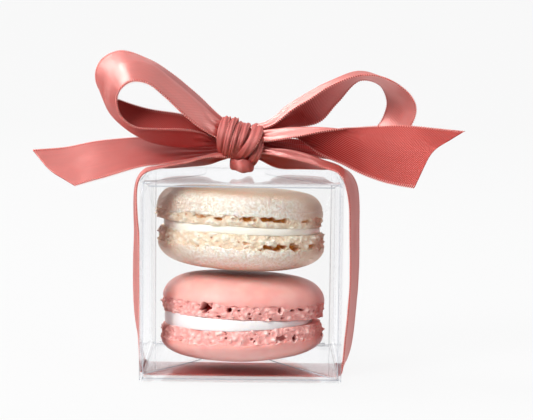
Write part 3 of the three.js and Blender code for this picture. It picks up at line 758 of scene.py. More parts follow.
def strip_piece(
    name, stations, settings, knot_ends, seed, satin_side, softness, depth, pleat_reach=12 * MM, turned=0.0
):
    """A length of ribbon as one closed skin. Its middle surface runs across three smooth rails, and both
    faces lie half a thickness from it. Where the rails are closer together than the ribbon is wide, pleats
    take up the rest: a cosine across of n waves and of amplitude 0.7 L / (pi n) sqrt(W / L - 1.15) on a
    span L, which falls off from the knot as exp(-(d / pleat_reach)^2). Soft waves of noise lift the whole.
    Each selvedge is a bead of stitch loops, a sine along it. satin_side is 1 where the upper face is satin,
    -1 where the lower one is and 0 where both are. depth is how much painted shade lies on the upper and
    lower face by the knot, at the start and at the end, and turned how much painted shade lies past the
    crease, where the far edge turns away from the light, at the start."""
    points = np.array(stations) * MM
    finely = np.linspace(0, len(points) - 1, 4000)
    middle = lengths_along(catmull_rom(points, finely)[:, 1])
    # rows lie 0.125 mm apart, or further apart on a length that would have too many of them
    row_step, most_rows = 0.125 * MM, 1270
    steps = min(int(middle[-1] / row_step), most_rows) + 1
    params = np.interp(np.linspace(0, middle[-1], steps), middle, finely)
    rails = catmull_rom(points, params)
    edge = np.array([0, 0.007, 0.016, 0.027, 0.040, 0.052])
    t = np.concatenate([edge, np.linspace(0.075, 0.925, 27), 1 - edge[::-1]])
    surface = across_strip(rails, t, softness)
    along = np.gradient(surface, axis=0)
    across = np.gradient(surface, axis=1)
    normal = np.cross(along, across)
    normal /= np.linalg.norm(normal, axis=-1, keepdims=True)
    outward = across / np.linalg.norm(across, axis=-1, keepdims=True)

    distance = lengths_along(surface)
    span = np.linalg.norm(np.diff(surface, axis=1), axis=-1).sum(axis=1)[:, None]
    waves_across = 3.5
    spare = np.clip(settings.width / span - 1.15, 0, 1.6)
    height = span / (math.pi * waves_across) * np.sqrt(spare)
    from_knot = np.full_like(distance, 1.0)
    if "start" in knot_ends:
        from_knot = np.minimum(from_knot, distance)
    if "end" in knot_ends:
        from_knot = np.minimum(from_knot, distance[-1] - distance)
    drift = 0.10 * noise(np.stack(np.broadcast_arrays(distance, 0 * t[None], seed), -1), 9 * MM, seed + 1)
    pleats = 0.7 * height * np.cos(2 * math.pi * waves_across * (t[None] + drift) + seed)
    pleats = pleats * np.exp(-((from_knot / pleat_reach) ** 2))
    furrows = np.cos(2 * math.pi * 2.5 * t[None] + 2 * seed)
    pleats = pleats + 0.16 * MM * np.exp(-from_knot / (12 * MM)) * furrows
    flat_place = np.stack(np.broadcast_arrays(distance, t[None] * settings.width * 1.6, seed), -1)
    ripples = 0.12 * MM * noise(flat_place, 8 * MM, seed) + 0.03 * MM * noise(flat_place, 3 * MM, seed + 2)
    surface = surface + normal * (pleats + ripples)[..., None]

    stitch = np.sin(2 * math.pi * distance / settings.stitch)
    from_edge = np.minimum(t, 1 - t)[None]
    bead = ease(0.045, 0.015, from_edge)
    half = settings.thickness / 2 * (1 + bead * (0.35 + 0.65 * stitch))
    side = np.sign(t - 0.5)[None] * ease(0.02, 0.0, from_edge)
    surface = surface + outward * (side * 0.18 * MM * stitch)[..., None]
    # the skin closes at each selvedge, so the outermost line is thinner
    half = half * np.where(from_edge == 0, 0.4, 1.0)

    upper = surface + normal * half[..., None]
    lower = surface - normal * half[..., None]
    rings = np.concatenate([upper, lower[:, ::-1]], axis=1)
    columns = rings.shape[1]
    count = len(t)
    caps = []
    for row in (0, steps - 1):
        j = np.arange(count - 1)
        start = row * columns
        quad = np.stack([start + j, start + j + 1, start + columns - 2 - j, start + columns - 1 - j], -1)
        caps.append(quad[:, ::-1] if row == 0 else quad)
    skin = grid_faces(steps, columns, around=True)
    side_of = np.where((skin % columns).max(axis=1) >= count, -1, 1)
    dull = side_of == -satin_side
    kinds = np.concatenate([dull, np.ones(2 * (count - 1), bool)]).astype(int)
    flat = np.stack([np.broadcast_to(t[None] * settings.width, distance.shape), distance], -1) / MM
    uv = np.concatenate([flat, flat[:, ::-1]], axis=1)
    on_bead = np.broadcast_to(ease(0.054, 0.030, from_edge), distance.shape)
    # where the stitch loops are painted pale as highlight and their gaps deep as shade
    loops = ease(-0.2, 0.7, stitch) * on_bead
    # the painted shade by the knot fades out over this stretch
    faded, full = 44 * MM, 14 * MM
    at_start = ease(faded, full, distance)
    at_end = ease(faded, full, distance[-1] - distance)
    # painted shade past the crease, where the far edge turns away from the light
    painted_crease_shade = turned * ease(31 * MM, 22 * MM, distance) * ease(0.63, 0.67, t[None])
    upper_painted_shade, lower_painted_shade = (np.maximum(depth[0][k] * at_start, depth[1][k] * at_end) for k in (0, 1))
    lower_painted_shade = np.maximum(lower_painted_shade, painted_crease_shade)
    piece = make_piece(
        name,
        rings,
        [np.concatenate([skin, *caps])],
        uv=uv,
        marks={
            "selvedge": np.concatenate([on_bead, on_bead[:, ::-1]], axis=1),
            "stitch": np.concatenate([loops, loops[:, ::-1]], axis=1),
            "painted_shade": np.concatenate([upper_painted_shade, lower_painted_shade[:, ::-1]], axis=1),
        },
        material_of=kinds,
    )
    return piece, float(middle[-1])


def harmonic(top, front, bottom, back, turn):
    """The smoothest periodic value through four given quarters: a + b cos + c sin + d cos 2, with the front
    at 0 and the top at a quarter turn."""
    mean = (top + front + bottom + back) / 4
    ahead = (front - back) / 2
    rise = (top - bottom) / 2
    squash = (front + back - top - bottom) / 4
    return mean + ahead * np.cos(turn) + rise * np.sin(turn) + squash * np.cos(2 * turn)


def wrap_points(xs, widths, front, top, bottom, settings, seed):
    """One turn of the knot: a bulging section carried round an oval. The section's outer side is an arch,
    the square root of a sine, with shallow pleats along it. Its left rim is a selvedge bead, and it closes
    underneath in a shallower sine."""
    turns, section = 360, 38
    turn = np.linspace(0, 2 * math.pi, turns, endpoint=False)[:, None]
    place = np.linspace(0, 2 * math.pi, section, endpoint=False)[None]
    x = harmonic(*(v * MM for v in xs), turn)
    top_width, front_width, bottom_width = (w * MM for w in widths)
    half_width = harmonic(top_width, front_width, bottom_width, front_width, turn)
    z_middle, z_half = (top + bottom) / 2 * MM, (top - bottom) / 2 * MM
    y_middle = -0.7 * MM
    y_half = y_middle - front * MM
    line = np.concatenate([x, y_middle - y_half * np.cos(turn), z_middle + z_half * np.sin(turn)], axis=1)
    along = np.roll(line, -1, axis=0) - np.roll(line, 1, axis=0)
    along /= np.linalg.norm(along, axis=1, keepdims=True)
    out = np.concatenate([0 * turn, -np.cos(turn) * z_half, np.sin(turn) * y_half], axis=1)
    wide = np.cross(out, along)
    wide /= np.linalg.norm(wide, axis=1, keepdims=True)
    out = np.cross(along, wide)
    distance = lengths_along(line)[:, None]
    across = -np.cos(place)
    lift = np.sin(place)
    thick = 0.85 * MM
    rise = thick * np.where(lift > 0, np.abs(lift) ** 0.5, -0.6 * np.abs(lift))
    drift = 1.1 * np.sin(2 * turn + seed)
    pleat = 0.13 * MM * np.cos(1.9 * math.pi * across + seed + drift) * ease(0.0, 0.5, lift)
    stitch = np.sin(2 * math.pi * distance / settings.stitch)
    rim = ease(-0.66, -0.88, across) * ease(-0.3, 0.2, lift)
    bead = rim * (0.08 + 0.10 * stitch) * MM
    body = line[:, None] + wide[:, None] * (across * half_width - rim * 0.05 * MM * stitch)[..., None]
    body = body + out[:, None] * (rise + pleat + bead - 0.5 * thick)[..., None]
    width_mm = np.broadcast_to((across + 1) * half_width / MM, (turns, section))
    uv = np.stack([width_mm, np.broadcast_to(distance / MM, (turns, section))], -1)
    # where the stitch loops are painted pale as highlight and their gaps deep as shade
    stitched = np.broadcast_to(ease(-0.5, 0.5, stitch) * rim, (turns, section))
    return body, uv, np.broadcast_to(rim, (turns, section)), stitched


def foot_wrap_points():
    """The lowest turn of the knot, which lies level: an oval with pleats, carried round an upright axis."""
    turns, section = 300, 38
    turn = np.linspace(0, 2 * math.pi, turns, endpoint=False)[:, None]
    place = np.linspace(0, 2 * math.pi, section, endpoint=False)[None]
    centre = np.array([-0.2, -2.2, 53.75]) * MM
    reach = np.array([3.2, 3.8]) * MM
    line = np.concatenate(
        [
            centre[0] + (reach[0] - 1.1 * MM) * np.sin(turn),
            centre[1] - (reach[1] - 1.1 * MM) * np.cos(turn),
            centre[2] + 0.35 * MM * np.sin(turn + 3.6),
        ],
        axis=1,
    )
    out = np.concatenate([np.sin(turn), -np.cos(turn), 0 * turn], axis=1)
    up = np.array([0.0, 0.0, 1.0])
    thick, tall = 1.2 * MM, 1.6 * MM
    swell = 1 + 0.12 * np.sin(3 * turn + 1.0)
    pleat = 0.12 * MM * np.cos(3.0 * place + 2 * turn)
    radius_out = (thick + pleat) * np.cos(place) * swell
    radius_up = (tall + pleat) * np.sin(place) * swell
    body = line[:, None] + out[:, None] * radius_out[..., None] + up * radius_up[..., None]
    distance = lengths_along(line)[:, None] / MM
    shape = body.shape[:2]
    uv = np.stack([np.broadcast_to(4 + 3 * np.sin(place), shape), np.broadcast_to(distance, shape)], -1)
    none = np.zeros(shape)
    return body, uv, none, none


def knot_piece(settings):
    """The bow's knot: its turns side by side, each leaning over the next, and the level turn under them."""
    groups = [
        wrap_points(xs, widths, front, top, bottom, settings, seed)
        for seed, (xs, widths, front, top, bottom) in enumerate(WRAPS.values())
    ]
    groups.append(foot_wrap_points())
    faces, offset = [], 0
    for body, *_ in groups:
        rows, columns = body.shape[:2]
        faces.append(grid_faces(rows, columns, around=True, over=True) + offset)
        offset += rows * columns
    core, (core_quads, core_fans) = knot_core(offset)
    none = np.zeros(len(core))
    points, uvs, rims, loops = (
        np.concatenate([*(group[k].reshape(-1, *group[k].shape[2:]) for group in groups), last])
        for k, last in enumerate((core, core[:, [0, 2]] / MM, none, none))
    )
    # the whole knot carries a light painted shade
    return make_piece(
        "ribbon_knot_wraps",
        points,
        [np.concatenate([*faces, core_quads]), core_fans],
        uv=uvs,
        marks={"selvedge": rims, "stitch": loops, "painted_shade": 0.3 + 0 * rims},
    )


def knot_core(offset):
    """The bundle inside the wraps, an ellipsoid, so that no daylight shows between them."""
    centre = np.array([-0.8, -0.7, 59.4]) * MM
    size = np.array([4.4, 4.9, 5.2]) * MM
    rows, columns = 24, 48
    tilt = np.linspace(0, math.pi, rows + 2)[1:-1, None]
    turn = np.linspace(0, 2 * math.pi, columns, endpoint=False)[None]
    ball = np.stack(
        [np.sin(tilt) * np.cos(turn), np.sin(tilt) * np.sin(turn), np.cos(tilt) + 0 * turn],
        -1,
    )
    points = (centre + size * ball).reshape(-1, 3)
    poles = [centre + size * (0, 0, 1), centre - size * (0, 0, 1)]
    points = np.concatenate([points, poles])
    count = rows * columns
    quads = grid_faces(rows, columns, around=True) + offset
    top_ring = np.arange(columns) + offset
    last_ring = top_ring + count - columns
    fans = np.concatenate(
        [fan_faces(offset + count, top_ring[::-1]), fan_faces(offset + count + 1, last_ring)]
    )
    return points, (quads, fans)


# Macarons


def shell_rows(radius, spec):
    """The shell's outline from the filling to the top of the dome, as radius, height and share of foot. The
    foot is a shallow bow, the lip a quarter ellipse under the rim, and the dome a superellipse, (r / R) ^
    squareness + (h / dome) ^ 2 = 1, with its rows spaced evenly along it."""
    foot, dome = spec["foot"], spec["dome"]
    level = np.linspace(0.0, 0.96, 52)
    inset = 0.15 + 1.6 * np.clip(0.5 - level, 0, 1) ** 1.8 + 0.5 * np.clip(level - 0.8, 0, 1) ** 1.5
    under_lip = inset[-1]
    foot_part = np.stack([radius - inset, foot * level, np.ones_like(level)], -1)
    turn = np.linspace(0, math.pi / 2, 9)[1:]
    lip_rise = 0.3
    lip = np.stack(
        [
            radius - under_lip + under_lip * np.sin(turn),
            0.96 * foot + lip_rise * (1 - np.cos(turn)),
            ease(0.9, 0.1, turn / (math.pi / 2)),
        ],
        -1,
    )
    start = 0.96 * foot + lip_rise
    r = 1 - np.linspace(0, 1, 4000) ** 3
    high = start + (foot + dome - start) * np.sqrt(np.clip(1 - r ** spec["squareness"], 0, 1))
    curve = np.stack([radius * r, high], -1)
    way = lengths_along(curve)
    even = np.linspace(0, way[-1], 50)[1:-1]
    dome_part = np.stack(
        [np.interp(even, way, curve[:, 0]), np.interp(even, way, curve[:, 1]), np.zeros(len(even))],
        -1,
    )
    inner = np.array([[radius * 0.35, 0, 1], [radius * 0.7, 0, 1], [radius - 2.6, 0, 1]])
    return np.concatenate([inner, foot_part, lip, dome_part])


def shell_piece(name, radius, spec, settings, place):
    """A baked shell: the outline turned round its axis. The foot is a crumb of round lumps of three sizes,
    with pores between them, on a slow ruffle, and it is pushed in where it has hollows, each an oval with a
    ragged edge. The rim rises and falls a little, so crumbs stand over it in places. The dome has only a
    slow unevenness and a fine grain."""
    around = 820
    rows = shell_rows(radius, spec)
    turn = np.linspace(0, 2 * math.pi, around, endpoint=False)
    r, z, foot = (rows[:, k, None] for k in range(3))
    out = np.stack([np.sin(turn), -np.cos(turn), 0 * turn], -1)[None]
    up = np.array([0, 0, 1.0])
    base = r[..., None] * out + z[..., None] * up
    seed = spec["seed"]
    outer = ease(radius - 3.2, radius - 1.6, r)
    on_foot = foot * outer

    crumb, relief = settings.crumb / MM, settings.crumb_relief / MM
    large = lumps(base * np.array([1, 1, 1.25]), 1.25 * crumb, seed, 0.42)
    middle = lumps(base, 0.62 * crumb, seed + 7, 0.40)
    fine = lumps(base, 0.32 * crumb, seed + 15, 0.40)
    pores = lumps(base, 0.95 * crumb, seed + 23, 0.22, least=0.62)
    bulge = relief * (1.7 * (large - 0.35) + 0.75 * (middle - 0.3) + 0.32 * (fine - 0.3) - 0.9 * pores)
    ruffle = 0.22 * noise(base * np.array([1, 1, 0.5]), 5.0, seed + 2) + 0.34 * noise(base, 2.0, seed + 3)

    arc = (turn[None] + math.pi) % (2 * math.pi) - math.pi
    ragged = 0.50 * noise(base, 0.9, seed + 5) + 0.30 * noise(base, 0.4, seed + 6)
    hollow = np.zeros(base.shape[:2])
    # painted shade inside each hollow, stronger the deeper it is
    shade = np.zeros(base.shape[:2])
    for angle, level, width, height, depth in spec["hollows"]:
        sideways = (arc - math.radians(angle)) * radius / (width / 2)
        upward = (z - level * spec["foot"]) / (height / 2)
        reach = np.hypot(sideways, upward) + ragged
        hollow = np.maximum(hollow, depth * ease(1.15, 0.5, reach))
        shade = np.maximum(shade, np.clip(depth / 1.4, 0, 1) * ease(1.1, 0.5, reach))
    pinholes = lumps(base * np.array([1, 1, 1.4]), 1.7, seed + 9, 0.30, least=0.5)
    pinholes = ease(0.42, 0.62, pinholes + 0.08 * ragged) * ease(0.02, 0.25, z / spec["foot"])
    hollow = np.maximum(hollow, 0.6 * pinholes)
    shade = np.maximum(shade, 0.45 * pinholes)
    # painted shade between the lumps and in the pores
    crevice_shade = 0.12 * ease(0.40, 0.05, large) + 0.25 * pores

    # the rim line's rise and fall, and the skin's own unevenness
    wander = 0.42 * noise(out * radius, 3.0, seed + 13) + 0.50 * noise(out * radius, 1.1, seed + 14)
    near_rim = np.exp(-(((z - spec["foot"]) / 0.9) ** 2))
    skin = 0.10 * noise(base, 9.0, seed + 11) + 0.03 * noise(base, 2.0, seed + 12)
    rim_bumps = 0.14 * near_rim * noise(base, 1.6, seed + 16)
    push = on_foot * (bulge + ruffle) + (1 - foot) * (skin + rim_bumps) - on_foot * hollow
    lean = np.where(foot > 0.5, 0.0, np.clip((z - spec["foot"]) / spec["dome"], 0, 1))
    direction = out * (1 - lean)[..., None] + up * lean[..., None]
    points = base + direction * push[..., None] + up * (near_rim * outer * wander)[..., None]
    points[:3] = base[:3]
    poles = np.array([[0, 0, 0], [0, 0, points[-1, :, 2].mean() + 0.02]])
    flat = place(np.concatenate([points.reshape(-1, 3), poles]))

    count = len(rows) * around
    first_ring = np.arange(around)
    last_ring = first_ring + count - around
    faces = [
        grid_faces(len(rows), around, around=True),
        np.concatenate([fan_faces(count, first_ring[::-1]), fan_faces(count + 1, last_ring)]),
    ]
    crest = np.clip((z - spec["foot"]) / spec["dome"], 0, 1) * np.ones(around)
    # browning near the rim, and painted shade over the crown
    rim_browning_and_crown_shade = np.exp(-crest / 0.14) + 1.5 * ease(0.62 * radius, 0.30 * radius, r)
    # lustre dust on the front only and kept off the crown: painted front light
    front_dust_and_light = ease(0.25, 0.93, np.cos(turn[None] - spec["front"]) + 0.12 * noise(base, 7.0, seed + 17))
    dust = front_dust_and_light * ease(1.0, 0.62, crest) * (1 - foot)
    every = np.ones(around)
    marks = {
        "foot": np.append(np.clip(foot * every, 0, 1).ravel(), [1, 0]),
        # the hollow mark carries the painted shade of the hollows, pinholes and gaps between lumps
        "hollow": np.append(np.clip(on_foot * (shade + crevice_shade), 0, 1).ravel(), [0, 0]),
        "bake_and_shade": np.append(np.clip(rim_browning_and_crown_shade * (1 - foot), 0, 1.5).ravel(), [0, 0]),
        "dust": np.append(dust.ravel(), [0, 0]),
        # the crumb mark is each bulge's height: higher crumb is painted paler as light, lower crumb darker as
        # shade
        "crumb": np.append((on_foot * np.clip(0.8 * large + 0.5 * middle, 0, 1)).ravel(), [0, 0]),
    }
    return make_piece(name, flat, faces, marks=marks)


def filling_piece(name, radius, spec, seed, place):
    """The filling between the shells: an oval disc thicker on the left, whose edge was pressed out into a
    bead. The bead swells past the disc's faces by the same share of its thickness all round, and its front
    edge has slow ripples."""
    around = 560
    side = np.linspace(0, math.pi, 34)
    bead = 1.5
    r = radius - 0.4 + bead * np.abs(np.sin(side)) ** 0.75
    z = 0.5 - 0.5 * np.cos(side)
    swell = 0.62 * np.sin(side) ** 2 * np.cos(side)
    r = np.concatenate([[radius * 0.4, radius - 2.4], r, [radius - 2.4, radius * 0.4]])[:, None]
    z = np.concatenate([[0, 0], z, [1, 1]])[:, None]
    swell = np.concatenate([[0, 0], -swell, [0, 0]])[:, None]
    turn = np.linspace(0, 2 * math.pi, around, endpoint=False)
    out = np.stack([np.sin(turn), -np.cos(turn), 0 * turn], -1)[None]
    at_edge = ease(radius - 0.6, radius + 0.6, r)
    base = r[..., None] * out + (3 * z)[..., None] * np.array([0, 0, 1.0])
    ripple = 0.30 * noise(base, 6.0, seed) + 0.12 * noise(base, 2.4, seed + 1)
    ripple = ripple + 0.03 * noise(base, 0.8, seed + 2)
    points = base + out * (at_edge * ripple)[..., None]
    share = (points[..., 0] + radius) / (2 * radius)
    thick = spec["left"] + (spec["right"] - spec["left"]) * share
    sag = 0.10 * noise(out * radius, 5.0, seed + 4)
    arc = (turn[None] + math.pi) % (2 * math.pi) - math.pi
    for angle, spread, drop in spec["drips"]:
        at = np.exp(-(((arc - math.radians(angle)) / math.radians(spread)) ** 2))
        sag = sag - drop * at * (1 - z)
        points = points + out * (0.5 * drop * at * at_edge)[..., None]
    points[..., 2] = z * thick + swell * (thick + 1.0) + at_edge * sag
    points[..., 0] *= spec["oval"]
    poles = np.array([[0, 0, 0], [0, 0, (spec["left"] + spec["right"]) / 2]])
    count = len(r) * around
    ring = np.arange(around)
    faces = [
        grid_faces(len(r), around, around=True),
        np.concatenate([fan_faces(count, ring[::-1]), fan_faces(count + 1, ring + count - around)]),
    ]
    return make_piece(name, place(np.concatenate([points.reshape(-1, 3), poles])), faces)


def make_macaron(flavour, settings):
    """Two shells and the filling between them. The lower shell is turned over, the upper one lies on the
    filling's wedge, and all three lean as the solids do, with the lowest point where theirs is."""
    spec = MACARONS[flavour]
    radius, filling = spec["radius"], spec["filling"]
    gap = 0.3
    height = spec["bottom"]["dome"] + spec["bottom"]["foot"]
    wedge = math.atan2(filling["left"] - filling["right"], 2 * (radius - filling["inset"]))
    pitch, roll = math.radians(-spec["pitch"]), math.radians(spec["roll"])
    lean = Matrix.Rotation(pitch, 4, "X") @ Matrix.Rotation(roll, 4, "Y")
    upper_height = height + 2 * gap + (filling["left"] + filling["right"]) / 2
    lifted = Matrix.Translation((spec["top"]["shift"], 0, upper_height))
    own = {
        "bottom_shell": Matrix.Translation((0, 0, height)) @ Matrix.Rotation(math.pi, 4, "X"),
        "filling": Matrix.Translation((filling["shift"], 0, height + gap)),
        "top_shell": lifted @ Matrix.Rotation(wedge, 4, "Y"),
    }
    drop = [0.0]

    def placer(node):
        """The function that puts a piece in its place: its own turn and shift, then the macaron's lean."""
        matrix = np.array(lean @ own[node])

        def place(points):
            """R p + t, then the shift to the macaron's centre and down to the solid's lowest point."""
            moved = points @ matrix[:3, :3].T + matrix[:3, 3]
            if node == "bottom_shell":
                drop[0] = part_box(f"{flavour}_bottom_shell")[0].z / MM - moved[:, 2].min()
            return (moved + np.array([*spec["centre"], drop[0]])) * MM

        return place

    # the lower shell is turned over, so its front and its hollows are mirrored back to front
    upper = dict(spec["top"], front=0.0)
    lower = dict(spec["bottom"], front=math.pi)
    lower["hollows"] = [(180 - h[0], *h[1:]) for h in spec["bottom"]["hollows"]]
    return [
        shell_piece(f"{flavour}_bottom_shell_baked", radius, lower, settings, placer("bottom_shell")),
        filling_piece(
            f"{flavour}_filling_piped",
            radius - filling["inset"],
            filling,
            spec["top"]["seed"],
            placer("filling"),
        ),
        shell_piece(f"{flavour}_top_shell_baked", radius, upper, settings, placer("top_shell")),
    ]


# Clear box


def plate_piece(name, front, back, edges, crease):
    """A thin sheet between two like grids of points: both faces, and the four cut edges, which get the
    second material where edges lists them, as sides low and high of the rows and of the columns. crease
    says for each row how whitened it is by a fold."""
    rows, columns = front.shape[:2]
    count = rows * columns
    quads = grid_faces(rows, columns)
    border = {
        "row_low": np.arange(columns),
        "row_high": np.arange(columns)[::-1] + count - columns,
        "column_low": np.arange(rows)[::-1] * columns,
        "column_high": np.arange(rows) * columns + columns - 1,
    }
    faces = [quads[:, ::-1], quads + count]
    kinds = [np.zeros(len(quads), int), np.zeros(len(quads), int)]
    for side, line in border.items():
        strip = np.stack([line[:-1], line[1:], line[1:] + count, line[:-1] + count], -1)
        faces.append(strip)
        kinds.append(np.full(len(strip), int(side in edges)))
    points = np.concatenate([front.reshape(-1, 3), back.reshape(-1, 3)])
    marks = {"crease": np.tile(np.repeat(crease, columns), 2)}
    return make_piece(name, points, [np.concatenate(faces)], marks=marks, material_of=np.concatenate(kinds))


def arc_points(centre, radius, start, end, steps):
    """Points on an arc in a plane, angles in degrees from the first axis."""
    angle = np.radians(np.linspace(start, end, steps))
    return np.stack([centre[0] + radius * np.cos(angle), centre[1] + radius * np.sin(angle)], -1)


def scored(steps, most=0.5):
    """How whitened a bend is at each of its steps: most at both ends, where the sheet was scored, with a
    clear step before and after it."""
    bend = np.full(steps, 0.05)
    bend[[0, -1]] = most
    bend[[1, -2]] = 0.3 * most
    return np.concatenate([[0], bend, [0]])


def with_shoulders(bend, reach=0.22 * MM):
    """A bend's points with one more point straight on before and after it."""
    first = bend[0] - (bend[1] - bend[0]) / np.linalg.norm(bend[1] - bend[0]) * reach
    last = bend[-1] + (bend[-1] - bend[-2]) / np.linalg.norm(bend[-1] - bend[-2]) * reach
    return np.concatenate([[first], bend, [last]])


def side_walls(settings):
    """The four upright walls, one closed band: a square outline with rounded folds, carried up. The front
    wall runs into the base's fold and the back wall into the lid's, so they stop a fold's radius short
    there."""
    half, radius, thick = settings.side / 2, settings.fold_radius, settings.thickness
    low, high = settings.underside, settings.underside + settings.side

    def outline(inset):
        """The square in the XY plane, its corners arcs of a quarter turn, inset from the outside."""
        corners = []
        straight = half - radius
        for start, (sx, sy) in ((-90, (1, -1)), (0, (1, 1)), (90, (-1, 1)), (180, (-1, -1))):
            bend = arc_points((sx * straight, sy * straight), radius - inset, start, start + 90, 12)
            corners.append(with_shoulders(bend))
        return np.concatenate(corners)

    outer, inner = outline(0), outline(thick)
    at_front = ease(-(half - radius * 1.4), -(half - 0.05 * MM), outer[:, 1])
    at_back = ease(half - radius * 1.4, half - 0.05 * MM, outer[:, 1])
    bottom = low + 0.3 * MM + (radius - 0.3 * MM) * at_front
    top = high - 0.25 * MM - (radius - 0.25 * MM) * at_back
    levels = np.linspace(0, 1, 12)[:, None]
    heights = bottom[None] + (top - bottom)[None] * levels

    def wall(line):
        """The outline carried up, each of its points from its own bottom to its own top."""
        plan = np.broadcast_to(line[None], (len(levels), *line.shape))
        return np.concatenate([plan, heights[..., None]], -1)

    outside, inside = wall(outer), wall(inner)
    rows, columns = outside.shape[:2]
    count = rows * columns
    quads = grid_faces(rows, columns, around=True)
    rims = []
    for line in (np.arange(columns), np.arange(columns)[::-1] + count - columns):
        after = np.roll(line, -1)
        rims.append(np.stack([line, after, after + count, line + count], -1))
    faces = np.concatenate([quads[:, ::-1], quads + count, *rims])
    kinds = np.concatenate([np.zeros(2 * len(quads), int), np.ones(2 * columns, int)])
    points = np.concatenate([outside.reshape(-1, 3), inside.reshape(-1, 3)])
    marks = {"crease": np.tile(scored(12), 4 * 2 * rows)}
    return make_piece("clear_box_walls", points, [faces], marks=marks, material_of=kinds)


def folded_panel(name, profile, widths, thick, crease):
    """The lid or the base: a sheet whose outline in the YZ plane is profile, as wide along X as widths says
    at each point, with its second face thick further in."""
    along = np.gradient(profile, axis=0)
    along /= np.linalg.norm(along, axis=1, keepdims=True)
    inward = np.stack([-along[:, 1], along[:, 0]], -1)
    share = np.linspace(-1, 1, 14)

    def face(line):
        """The line carried across, with x from -w to w at each of its points."""
        x = widths[:, None] * share[None]
        yz = np.broadcast_to(line[:, None], (len(line), len(share), 2))
        return np.concatenate([x[..., None], yz], -1)

    all_edges = {"row_low", "row_high", "column_low", "column_high"}
    return plate_piece(name, face(profile), face(profile + inward * thick), all_edges, crease)


def lid_and_base(settings):
    """The lid folds down from the back wall and tucks in at the front. The base folds back from the front
    wall and tucks in at the back. Each tuck flap has rounded corners, where its width falls away as a
    circle does."""
    half, radius, thick = settings.side / 2, settings.fold_radius, settings.thickness
    low, high = settings.underside, settings.underside + settings.side
    set_back = 0.9 * MM
    small = 0.8 * MM
    width = half - 0.7 * MM
    tuck_end = 6.0 * MM

    def panel(name, sign, open_level, fold_level):
        # y runs from the tuck flap to the hinge; sign is 1 for the lid, whose flap is at the front
        y_tuck = -(half - set_back)
        rise = np.linspace(-settings.tuck, -small - 0.5 * MM, 16)
        flap = np.stack([np.full(len(rise), y_tuck), rise], -1)
        fold = with_shoulders(arc_points((y_tuck + small, -small), small, 180, 90, 8))
        hinge_y = half - radius
        between = np.linspace(fold[-1], (hinge_y - 0.5 * MM, 0), 8)[1:]
        bend = with_shoulders(arc_points((hinge_y, -radius), radius, 90, 0, 10))
        flat = np.concatenate([flap, fold, between, bend])
        crease = np.concatenate([np.zeros(len(flap)), scored(8, 0.9), np.zeros(len(between)), scored(10)])
        drop = (open_level - fold_level) * ease(hinge_y, y_tuck, flat[:, 0])
        z = fold_level + sign * flat[:, 1] + drop
        profile = np.stack([sign * flat[:, 0], z], -1)
        from_tip = np.concatenate([[0], np.cumsum(np.linalg.norm(np.diff(profile, axis=0), axis=1))])
        round_off = np.clip(1 - from_tip / tuck_end, 0, 1)
        widths = width - 1.6 * MM * ease(settings.tuck + 1.5 * MM, settings.tuck - 1.0 * MM, from_tip)
        widths = widths - tuck_end * 0.55 * (1 - np.sqrt(1 - round_off**2))
        return folded_panel(name, profile, widths, -thick, crease)

    lid = panel("clear_box_lid", 1, high - 0.65 * MM, high)
    base = panel("clear_box_base", -1, low, low)
    return [lid, base]


def dust_flap(name, side, lower, settings, front_edge, back_edge, reach):
    """A dust flap folded in from a side wall. It is flat, its front edge runs back to its free end in a
    straight line with a rounded corner, and it bends up to the wall through a small fold."""
    half, thick = settings.side / 2, settings.thickness
    wall_x = half - thick - 0.1 * MM
    fold = 0.5 * MM
    bend = arc_points((wall_x - fold, fold), fold, 0, -90, 8)
    flat_x = np.linspace(wall_x - fold, wall_x - reach, 26)[1:]
    xs = np.concatenate([bend[:, 0], flat_x])
    rise = np.concatenate([bend[:, 1], np.zeros(len(flat_x))])
    share = (wall_x - xs) / reach
    front = front_edge[0] + (front_edge[1] - front_edge[0]) * share + 2.5 * MM * share**14
    back = back_edge[0] + (back_edge[1] - back_edge[0]) * share - 2.5 * MM * share**14
    across = np.linspace(0, 1, 16)
    y = front[:, None] + (back - front)[:, None] * across[None]
    if lower:
        z = settings.underside + thick + 0.12 * MM + rise[:, None] + 0 * y
        way = thick
    else:
        slope = 0.65 * MM * (0.5 - y / settings.side)
        z = settings.underside + settings.side - thick - 0.12 * MM - slope - rise[:, None]
        way = -thick
    near = np.stack([side * np.broadcast_to(xs[:, None], y.shape), y, z], -1)
    along = np.gradient(near, axis=0)
    other = np.gradient(near, axis=1)
    normal = np.cross(along, other)
    normal /= np.linalg.norm(normal, axis=-1, keepdims=True)
    normal *= np.sign(normal[-1, 0, 2]) * np.sign(way)
    crease = np.concatenate([scored(len(bend) - 2), np.zeros(len(flat_x))])
    return plate_piece(name, near, near + normal * thick, {"row_high", "column_low", "column_high"}, crease)


# Operators


class MACARONBOX_OT_camera(bpy.types.Operator):
    """Sets the camera in front of the box, a little above it"""

    bl_idname = "macaronbox.camera"
    bl_label = "Camera"

    def execute(self, context):
        # The frame is 533 by 420 pixels, and its focal length is given in pixels.
        focal_pixels, frame_width, sensor = 1649.0, 533.0, 36.0
        pitch, yaw, roll = (math.radians(v) for v in (6.34, 0.29, 0.64))
        forward = Vector(
            (math.sin(yaw) * math.cos(pitch), math.cos(yaw) * math.cos(pitch), -math.sin(pitch))
        )
        level = Vector((math.cos(yaw), -math.sin(yaw), 0))
        upright = level.cross(forward)
        right = math.cos(roll) * level + math.sin(roll) * upright
        up = -math.sin(roll) * level + math.cos(roll) * upright
        data = bpy.data.cameras.new("camera")
        data.sensor_width = sensor
        data.lens = sensor * focal_pixels / frame_width
        data.clip_start = 0.01
        data.clip_end = 20
        camera = bpy.data.objects.new("camera", data)
        axes = Matrix((right, up, -forward)).transposed().to_4x4()
        camera.matrix_world = Matrix.Translation(Vector((4.1, -431.1, 89.6)) * MM) @ axes
        context.scene.collection.objects.link(camera)
        context.scene.camera = camera
        return {"FINISHED"}


